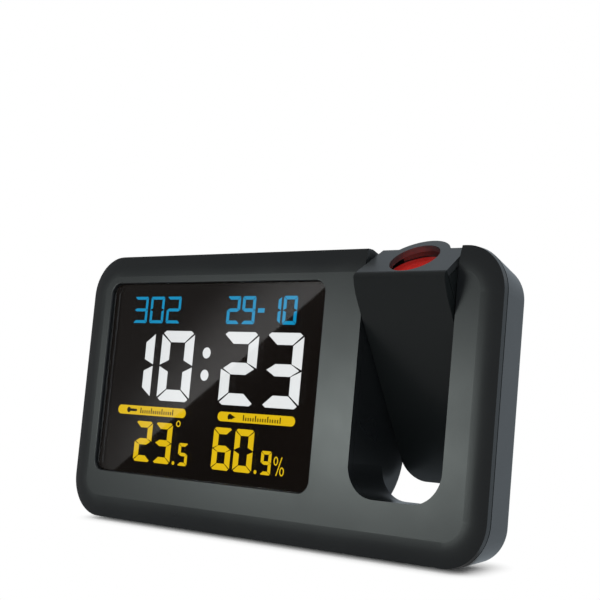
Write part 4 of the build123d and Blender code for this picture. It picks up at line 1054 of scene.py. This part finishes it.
# ---------------------------------------------------------------- screws
@dataclass
class CrossScrews:
    """Pan-head screws with a cross recess, in place of a node of plain ones.

    Attributes:
        name: Name of the new piece.
        node: Node that it stands for.
        body: Body that it rides on.
        directions: Its sub-assembly's directions; the heads face the back.
        head_height: Height of a head, in millimetres.
        shank_radius: Radius of a shank.
        crown: Outline of a head from its top: share of its radius, and of its height down.
        cross: Half width and reach of the cross, as shares of the head's radius.
        cross_depth: Depth of the recess, as a share of the head's height.
        taper: Size of the recess's floor, as a share of its mouth.
        tip_share: Radius of a shank's tip, as a share of the shank's.
        segments: Corners round a head.
        mesh: Mesh of the set.
    """

    name: str
    node: str
    body: Body
    directions: Directions
    head_height: float
    shank_radius: float
    crown: tuple[Point, ...] = ((0.66, 0.0), (0.88, 0.16), (1.0, 0.5), (1.0, 1.0))
    cross: Point = (0.12, 0.52)
    cross_depth: float = 0.6
    taper: float = 0.5
    tip_share: float = 0.3
    segments: int = 24
    mesh: Mesh = field(default_factory=bmesh.new)

    def add_screw(self, solid: Span) -> None:
        """Adds one screw in the place of a solid.

        Args:
            solid: Span of the plain screw.
        """
        mesh, radius = self.mesh, solid.size.x / 2
        top, tip = solid.high.y, solid.low.y
        height, shank = self.head_height * MM, self.shank_radius * MM
        rings = [(share * radius, top - drop * height) for share, drop in self.crown]
        rings += [(shank, top - height), (shank, tip + shank), (self.tip_share * shank, tip)]
        upright = Matrix.Rotation(-pi / 2, 4, "X")
        loops = [self.add_cross(radius, top)]
        for ring_radius, depth in rings:
            made = bmesh.ops.create_circle(
                mesh, segments=self.segments, radius=ring_radius, matrix=upright)["verts"]
            bmesh.ops.translate(mesh, verts=made, vec=(0, depth, 0))
            loops.append(edges_at(made))
        for inner, outer in zip(loops, loops[1:]):
            bmesh.ops.bridge_loops(mesh, edges=inner + outer)
        bmesh.ops.contextual_create(mesh, geom=loops[-1])
        placed = [v for v in mesh.verts if not v.tag]
        bmesh.ops.translate(mesh, verts=placed, vec=(solid.centre.x, 0, solid.centre.z))
        for vert in placed:
            vert.tag = True

    def add_cross(self, radius: float, top: float) -> list[Edge]:
        """Adds the cross recess.

        Args:
            radius: Radius of the head.
            top: Distance back of the head's top.

        Returns:
            Edges of the recess's mouth.
        """
        mesh = self.mesh
        half, reach = (share * radius for share in self.cross)
        places = ((half, half), (half, reach), (-half, reach))
        quarter = [Vector((x, top, z)) for x, z in places]
        turns = [Matrix.Rotation(-turn * pi / 2, 4, "Y") for turn in range(4)]
        corners = [mesh.verts.new(turn @ corner) for turn in turns for corner in quarter]
        mouth = [mesh.edges.new((corners[i - 1], corner)) for i, corner in enumerate(corners)]
        mouth = edges_of(bmesh.ops.subdivide_edges(mesh, edges=mouth, cuts=1))
        grown = bmesh.ops.extrude_edge_only(mesh, edges=mouth)
        floor = verts_of(grown)
        depth = self.cross_depth * self.head_height * MM
        bmesh.ops.scale(mesh, verts=floor, vec=(self.taper, 1, self.taper))
        bmesh.ops.translate(mesh, verts=floor, vec=(0, -depth, 0))
        bmesh.ops.contextual_create(mesh, geom=edges_of(grown))
        return mouth

    def build(self) -> None:
        """Builds the whole set."""
        for solid in self.directions.solids(self.node):
            self.add_screw(solid)
        piece = make_piece(self.name, self.mesh, self.directions, BLACK_ZINC, self.body)
        smooth(piece)
        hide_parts(self.node)


# ---------------------------------------------------------------- case
@dataclass
class Case:
    """Shells, door, feet, keys and the screws at the back.

    Attributes:
        screws: Screws that hold the shells together.
    """

    screws: CrossScrews = field(default_factory=lambda: CrossScrews(
        "case_screw_set", "case_screws", Body.CASE, case_directions(), 1.3, 1.2))

    def build(self) -> None:
        """Dresses the case and builds its screws."""
        dress(SHELL, "front_shell", "rear_shell", "battery_door")
        buttons = [name for name in frame["nodes"] if name.startswith("rear_button")]
        dress(BUTTON, "snooze_key", *buttons)
        dress(FOOT_RUBBER, "front_foot", "rear_feet")
        self.screws.build()


@dataclass
class BatteryBay:
    """Cells and their contacts.

    Attributes:
        turns: Turns of each coil spring.
        steps: Steps in one turn.
        wire_radius: Radius of the spring wire, in millimetres.
        wire_segments: Corners round the wire.
        plate_thickness: Thickness of the contact plates.
        coil_radius: Radius of the coil's wide end, to the wire's centre.
        end_share: Radius of its narrow end as a share of that.
        mesh: Mesh of all springs and their plates.
    """

    turns: int = 4
    steps: int = 20
    wire_radius: float = 0.32
    wire_segments: int = 8
    plate_thickness: float = 0.4
    coil_radius: float = 3.0
    end_share: float = 0.72
    mesh: Mesh = field(default_factory=bmesh.new)

    def add_plate(self, solid: Span) -> None:
        """Adds a contact plate.

        Args:
            solid: Span of the plain spring and plate that it stands for.
        """
        thickness = self.plate_thickness * MM
        plate = bmesh.ops.create_cube(self.mesh, size=1)["verts"]
        place = (solid.low.x + thickness / 2, solid.centre.y, solid.centre.z)
        bmesh.ops.scale(self.mesh, verts=plate, vec=(thickness, solid.size.y, solid.size.z))
        bmesh.ops.translate(self.mesh, verts=plate, vec=place)

    def add_spring(self, solid: Span) -> None:
        """Adds a coil spring in front of its plate.

        Args:
            solid: Span of the plain spring and plate that they stand for.
        """
        mesh, before = self.mesh, set(self.mesh.verts)
        radius = self.wire_radius * MM
        start = Vector((solid.low.x + self.plate_thickness * MM + radius, *solid.centre.yz))
        length = solid.high.x - start.x - radius
        made = bmesh.ops.create_circle(mesh, segments=self.wire_segments, radius=radius)["verts"]
        bmesh.ops.rotate(mesh, verts=made, matrix=Matrix.Rotation(pi / 2, 3, "X"))
        bmesh.ops.translate(mesh, verts=made, vec=start + Vector((0, 0, self.coil_radius * MM)))
        count = self.turns * self.steps
        bmesh.ops.spin(
            mesh, geom=made + edges_at(made), cent=start, axis=(1, 0, 0),
            dvec=(length / count, 0, 0), angle=tau * self.turns, steps=count)
        for vert in (v for v in mesh.verts if v not in before):
            share = min(max((vert.co.x - start.x) / length, 0.0), 1.0)
            shrink = 1 - (1 - self.end_share) * share
            vert.co.yz = start.yz + shrink * (vert.co.yz - start.yz)
        open_ends = [e for e in mesh.edges if len(e.link_faces) == 1]
        bmesh.ops.holes_fill(mesh, edges=open_ends)

    def build(self) -> None:
        """Builds the springs and dresses cells and contacts."""
        directions = case_directions()
        cells = directions.node("aaa_cells")
        jacket = CellJacket("dry_cell_foil_jacket", start=cells.low.x, end=cells.high.x)
        dress(jacket, "aaa_cells")
        dress(NICKEL, "battery_plates")
        for solid in directions.solids("battery_springs"):
            self.add_plate(solid)
            self.add_spring(solid)
        piece = make_piece("coil_springs", self.mesh, directions, NICKEL, Body.CASE)
        smooth(piece)
        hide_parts("battery_springs")


@dataclass
class ProjectorArm:
    """Swinging arm with its optics.

    Attributes:
        directions: Directions of the arm.
        screws: Screws that hold its two halves together.
    """

    directions: Directions = field(default_factory=arm_directions)
    screws: CrossScrews = field(default_factory=lambda: CrossScrews(
        "arm_screw_set", "arm_screws", Body.ARM, arm_directions(), 1.0, 0.9))

    def build(self) -> None:
        """Dresses the arm and builds its screws."""
        # Wall round the lens gets a painted red glow, fading from the lens to the mouth, for the
        # lamp's scattered light.
        painted_glow_wall = PaintedGlowWall(
            "black_polycarbonate_painted_red_glow", axis=tuple(self.directions.up),
            start=self.directions.node("projection_lens").centre.z,
            end=self.directions.node("arm_cap").high.z)
        dress(ARM_SHELL, "arm_cover", "arm_housing")
        # Top plate painted lighter than the arm, as painted light on its upturned face.
        dress(ARM_TOP_PAINTED_LIGHTER, "arm_cap")
        dress(painted_glow_wall, "lens_barrel", "lens_cell")
        dress(OPTIC_BLACK, "lamp_tube")
        # Painted red glow in the lenses and the slide, for the lamp's light passing through.
        dress(LENS_PAINTED_GLOW, "projection_lens", "condenser_lens")
        dress(SLIDE_PAINTED_GLOW, "slide_lcd")
        dress(LAMP_RED, "projector_led")
        dress(BOARD, "led_board")
        dress(ACETAL, "pivot_bush", "pivot_pin", "friction_washers")
        dress(PVC_LEAD, "arm_lead", "body_lead")
        self.screws.build()


@dataclass
class Electronics:
    """Board, its parts, power inlet and speaker."""

    def build(self) -> None:
        """Dresses the electronics."""
        dress(BOARD, "main_pcb")
        dress(EPOXY_BLOB, "clock_chip")
        dress(ALUMINIUM, "pcb_parts")
        dress(ZINC, "tact_switches", "snooze_switch", "usb_inlet", "pcb_screws")
        dress(SPEAKER_BLACK, "speaker")


# ---------------------------------------------------------------- studio
def add_seen(tree: Tree) -> Socket:
    """Adds a value that is 1 for camera, glossy and transmission rays, and 0 for the rest.

    Args:
        tree: Tree that gets the nodes.

    Returns:
        The value.
    """
    paths = add_node(tree, "LightPath").outputs
    glossy = add_node(tree, "Math", {
        0: paths["Is Camera Ray"], 1: paths["Is Glossy Ray"]}, operation="MAXIMUM")
    return add_node(tree, "Math", {
        0: glossy.outputs[0], 1: paths["Is Transmission Ray"]}, operation="MAXIMUM").outputs[0]


@dataclass(frozen=True)
class Softbox:
    """Rectangular soft light that faces the clock.

    Attributes:
        name: Its name.
        place: Its centre, in metres.
        size: Its width and height.
        radiance: Its brightness, where 1 is white.
        tint: sRGB hex of its light.
        spared: Nodes that it doesn't light, as a flag between them and the lamp would do.
    """

    name: str
    place: Place
    size: Point
    radiance: float
    tint: str = WHITE
    spared: tuple[str, ...] = ()

    def build(self, target: Vector) -> None:
        """Adds the lamp.

        Args:
            target: Point that it faces.
        """
        lamp = bpy.data.lights.new(self.name, "AREA")
        lamp.shape = "RECTANGLE"
        lamp.size, lamp.size_y = self.size
        lamp.energy = pi * self.size[0] * self.size[1] * self.radiance
        lamp.color = linear(self.tint)[:3]
        rig = bpy.data.objects.new(self.name, lamp)
        rig.location = self.place
        rig.rotation_euler = (target - Vector(self.place)).to_track_quat("-Z", "Y").to_euler()
        bpy.context.scene.collection.objects.link(rig)
        if self.spared:
            kept_dark = bpy.data.collections.new(self.name + "_spared")
            rig.light_linking.receiver_collection = kept_dark
            for name in self.spared:
                kept_dark.objects.link(frame["nodes"][name])
            for link in kept_dark.collection_objects:
                link.light_linking.link_state = "EXCLUDE"


@dataclass(frozen=True)
class Card(Look):
    """Plain studio card that only mirrors and clear parts see, as a flag beside a lens.

    Attributes:
        grey: Its brightness, where 1 is white.
        tint: sRGB hex of its light.
    """

    grey: float
    tint: str = WHITE

    def form(self) -> Mesh:
        """Makes the card's mesh."""
        raise NotImplementedError

    def shade(self, tree: Tree) -> Node:
        """Even light of the card's brightness."""
        return add_node(tree, "Emission", {"Color": linear(self.tint), "Strength": self.grey})

    def build(self) -> None:
        """Adds the card, out of sight of the camera, and without light or shadow of its own."""
        material = self.material()
        material.cycles.emission_sampling = "NONE"
        card = add_object(self.name, self.form(), material)
        card.visible_camera = card.visible_diffuse = card.visible_shadow = False


@dataclass(frozen=True)
class CurvedCard(Card):
    """Curved card round one side of the clock, closed over the top.

    Attributes:
        right_end: Turn of its right end from straight ahead, in degrees.
        left_end: Turn of its left end.
        outline: Distance from the middle and height of its edge, in metres, from foot to top.
        steps: Steps from its right end to its left end.
    """

    right_end: float = -40.0
    left_end: float = 125.0
    outline: tuple[Point, ...] = ((1.4, -0.05), (1.4, 0.9), (1.0, 1.4), (0.02, 1.6))
    steps: int = 24

    def form(self) -> Mesh:
        """Spins the outline round the clock.

        Returns:
            The card's mesh.
        """
        mesh = bmesh.new()
        turn = radians(self.right_end)
        verts = [mesh.verts.new((-sin(turn) * r, -cos(turn) * r, z)) for r, z in self.outline]
        edges = [mesh.edges.new(pair) for pair in zip(verts, verts[1:])]
        bmesh.ops.spin(
            mesh, geom=verts + edges, cent=(0, 0, 0), axis=(0, 0, -1),
            angle=radians(self.left_end - self.right_end), steps=self.steps)
        return mesh


@dataclass(frozen=True)
class FlatCard(Card):
    """Rectangular card that lies on the floor or stands up facing the clock.

    Attributes:
        low: Its lowest corner, in metres.
        high: Its highest corner.
    """

    low: Place = (0.0, 0.0, 0.0)
    high: Place = (1.0, 1.0, 0.0)

    def form(self) -> Mesh:
        """Grows the card from its lowest edge."""
        end = (self.high[0], *self.low[1:])
        return swept(self.low, end, Vector(self.high) - Vector(end))


@dataclass(frozen=True)
class SheenCard(Card):
    """Upright card with a slanted lower edge, brightest along that edge.

    The window mirrors it as the pale sheen that ends in a slanted line.

    Attributes:
        edge_high: Upper end of the slanted edge, in metres.
        edge_low: Its lower end.
        size: Width of the card beyond the edge.
        fade: Distance from the edge over which it dims.
        far_grey: Its brightness there.
        low_share: Brightness at the edge's lower end as a share of that at its upper end.
    """

    edge_high: Place = (-0.545, -0.66, 0.292)
    edge_low: Place = (-0.83, -0.66, 0.061)
    size: float = 0.42
    fade: float = 0.10
    far_grey: float = 0.10
    low_share: float = 0.3

    @property
    def away(self) -> Vector:
        """Unit vector from the edge across the card, up and to the left."""
        along = Vector(self.edge_high) - Vector(self.edge_low)
        return Vector((-along.z, 0, along.x)).normalized()

    def form(self) -> Mesh:
        """Grows the card from its edge."""
        return swept(self.edge_high, self.edge_low, self.size * self.away)

    def shade(self, tree: Tree) -> Node:
        """Light that dims away from the edge and towards its lower end.

        Args:
            tree: Tree that gets the nodes.

        Returns:
            The shader.
        """
        place = add_node(tree, "TexCoord").outputs["Object"]
        reach = add_node(tree, "VectorMath", {0: place, 1: self.away}, operation="DOT_PRODUCT")
        start = Vector(self.edge_low).dot(self.away)
        side = add_node(tree, "SeparateXYZ", {0: place}).outputs["X"]
        peak = add_node(tree, "MapRange", {
            "Value": side, "From Min": self.edge_low[0],
            "From Max": (self.edge_low[0] + self.edge_high[0]) / 2,
            "To Min": self.low_share * self.grey, "To Max": self.grey},
            interpolation_type="SMOOTHSTEP")
        grey = add_node(tree, "MapRange", {
            "Value": reach.outputs["Value"], "From Min": start, "From Max": start + self.fade,
            "To Min": peak.outputs[0], "To Max": self.far_grey}, interpolation_type="SMOOTHSTEP")
        return add_node(tree, "Emission", {"Color": linear(self.tint), "Strength": grey.outputs[0]})


@dataclass(frozen=True)
class Floor(Look):
    """Matt white floor that shows only the clock's own shade to the eye, and else plain white.

    Attributes:
        side: Its side, in metres.
        colour: sRGB hex of its paint.
        footprint: Half width and half depth of what stands on it.
        shade_reach: How far from that the shade shows.
    """

    side: float = 6.0
    colour: str = "#fbfbfa"
    footprint: Point = (0.067, 0.003)
    shade_reach: float = 0.011

    def shade(self, tree: Tree) -> Node:
        """Matt near the clock, and plain white beyond the reach of its shade.

        Args:
            tree: Tree that gets the nodes.

        Returns:
            The shader.
        """
        place = add_node(tree, "TexCoord").outputs["Object"]
        across = add_node(tree, "VectorMath", {0: place}, operation="ABSOLUTE")
        past = add_node(tree, "VectorMath", {
            0: across.outputs[0], 1: (*self.footprint, 0.0)}, operation="SUBTRACT")
        outside = add_node(tree, "VectorMath", {
            0: past.outputs[0], 1: (0.0, 0.0, 0.0)}, operation="MAXIMUM")
        reach = add_node(tree, "VectorMath", {0: outside.outputs[0]}, operation="LENGTH")
        far = add_node(tree, "MapRange", {
            "Value": reach.outputs["Value"], "From Max": self.shade_reach},
            interpolation_type="SMOOTHSTEP")
        share = add_node(tree, "Math", {0: far.outputs[0], 1: add_seen(tree)}, operation="MULTIPLY")
        matt = add_node(tree, "BsdfDiffuse", {"Color": linear(self.colour)})
        white = add_node(tree, "Emission", {"Color": linear(WHITE), "Strength": 1.0})
        return add_node(tree, "MixShader", {
            0: share.outputs[0], 1: matt.outputs[0], 2: white.outputs[0]})

    def build(self) -> None:
        """Adds the floor."""
        mesh = bmesh.new()
        bmesh.ops.create_grid(mesh, x_segments=1, y_segments=1, size=self.side / 2)
        add_object("floor", mesh, self.material())


@dataclass
class Studio:
    """Plain pale floor, soft lights, plain cards and the camera.

    Attributes:
        camera_place: Camera's place, in metres.
        camera_look: Direction it looks in.
        camera_roll: Its roll, in degrees.
        lens: Focal length, in millimetres on a sensor of that width.
        sensor: Width of that sensor.
        near: Distance at which the view starts, in metres.
        ambient: Strength of the even light from all round.
        target: Point that the lights face.
    """

    camera_place: Place = (0.2621, -0.28685, 0.06735)
    camera_look: Place = (-0.6587, 0.7524, 0.0031)
    camera_roll: float = -0.11
    lens: float = 81.36
    sensor: float = 36.0
    near: float = 0.01
    ambient: float = 0.95
    target: Place = (0.0, 0.0, 0.04)
    floor: Floor = Floor("matt_white_card_floor")
    softboxes: tuple[Softbox, ...] = (
        Softbox("key_low_left", (-0.435, -0.61, 0.132), (0.33, 0.09), 9.2, "#f0fcf8",
                ("display_window", "lcd_panel", "arm_cover")),
        Softbox("back_soft", (0.8, 0.72, 0.62), (0.6, 0.4), 2.2),
    )
    cards: tuple[Card, ...] = (
        CurvedCard("dark_corner", 0.18),
        CurvedCard("pale_corner", 0.62, "#e8f5ff", 125.0, 320.0),
        FlatCard("dark_floor_card", 0.18, low=(-1.4, -1.3, 0.0004), high=(0.25, 0.0, 0.0004)),
        FlatCard("window_flag", 0.03, low=(-0.92, -0.665, 0.0), high=(-0.52, -0.665, 0.34)),
        FlatCard("pale_floor_card", 0.62, "#e8f5ff", (-1.4, -1.4, 0.0002), (1.4, 1.4, 0.0002)),
        SheenCard("sheen_card", 0.72),
    )

    def build_camera(self) -> None:
        """Adds the camera and makes it the scene's."""
        data = bpy.data.cameras.new("camera")
        data.lens = self.lens
        data.sensor_width = self.sensor
        data.clip_start = self.near
        camera = bpy.data.objects.new("camera", data)
        turn = Vector(self.camera_look).to_track_quat("-Z", "Y").to_matrix().to_4x4()
        roll = Matrix.Rotation(radians(self.camera_roll), 4, "Z")
        camera.matrix_world = Matrix.Translation(self.camera_place) @ turn @ roll
        bpy.context.scene.collection.objects.link(camera)
        bpy.context.scene.camera = camera

    def build_world(self) -> None:
        """Even ambient light, with a white backdrop to the eye."""
        world = bpy.data.worlds.new("studio")
        bpy.context.scene.world = world
        world.use_nodes = True
        tree = world.node_tree
        tree.nodes.clear()
        ambient, white = (
            add_node(tree, "Background", {"Color": linear(WHITE), "Strength": strength}).outputs[0]
            for strength in (self.ambient, 1.0))
        mixed = add_node(tree, "MixShader", {0: add_seen(tree), 1: ambient, 2: white})
        add_node(tree, "OutputWorld", {"Surface": mixed.outputs[0]})

    def build(self) -> None:
        """Builds the whole studio."""
        bpy.context.scene.view_settings.view_transform = "Standard"
        self.build_camera()
        self.build_world()
        self.floor.build()
        for softbox in self.softboxes:
            softbox.build(Vector(self.target))
        for card in self.cards:
            card.build()
        log.info("studio: %d soft lights, %d cards", len(self.softboxes), len(self.cards))


def main() -> None:
    """Builds the studio and every sub-assembly in order."""
    logging.basicConfig(level=logging.INFO, format="%(name)s: %(message)s")
    for part in (Studio(), Display(), Case(), BatteryBay(), ProjectorArm(), Electronics()):
        log.info("building %s", type(part).__name__)
        part.build()


if __name__ == "__main__":
    main()
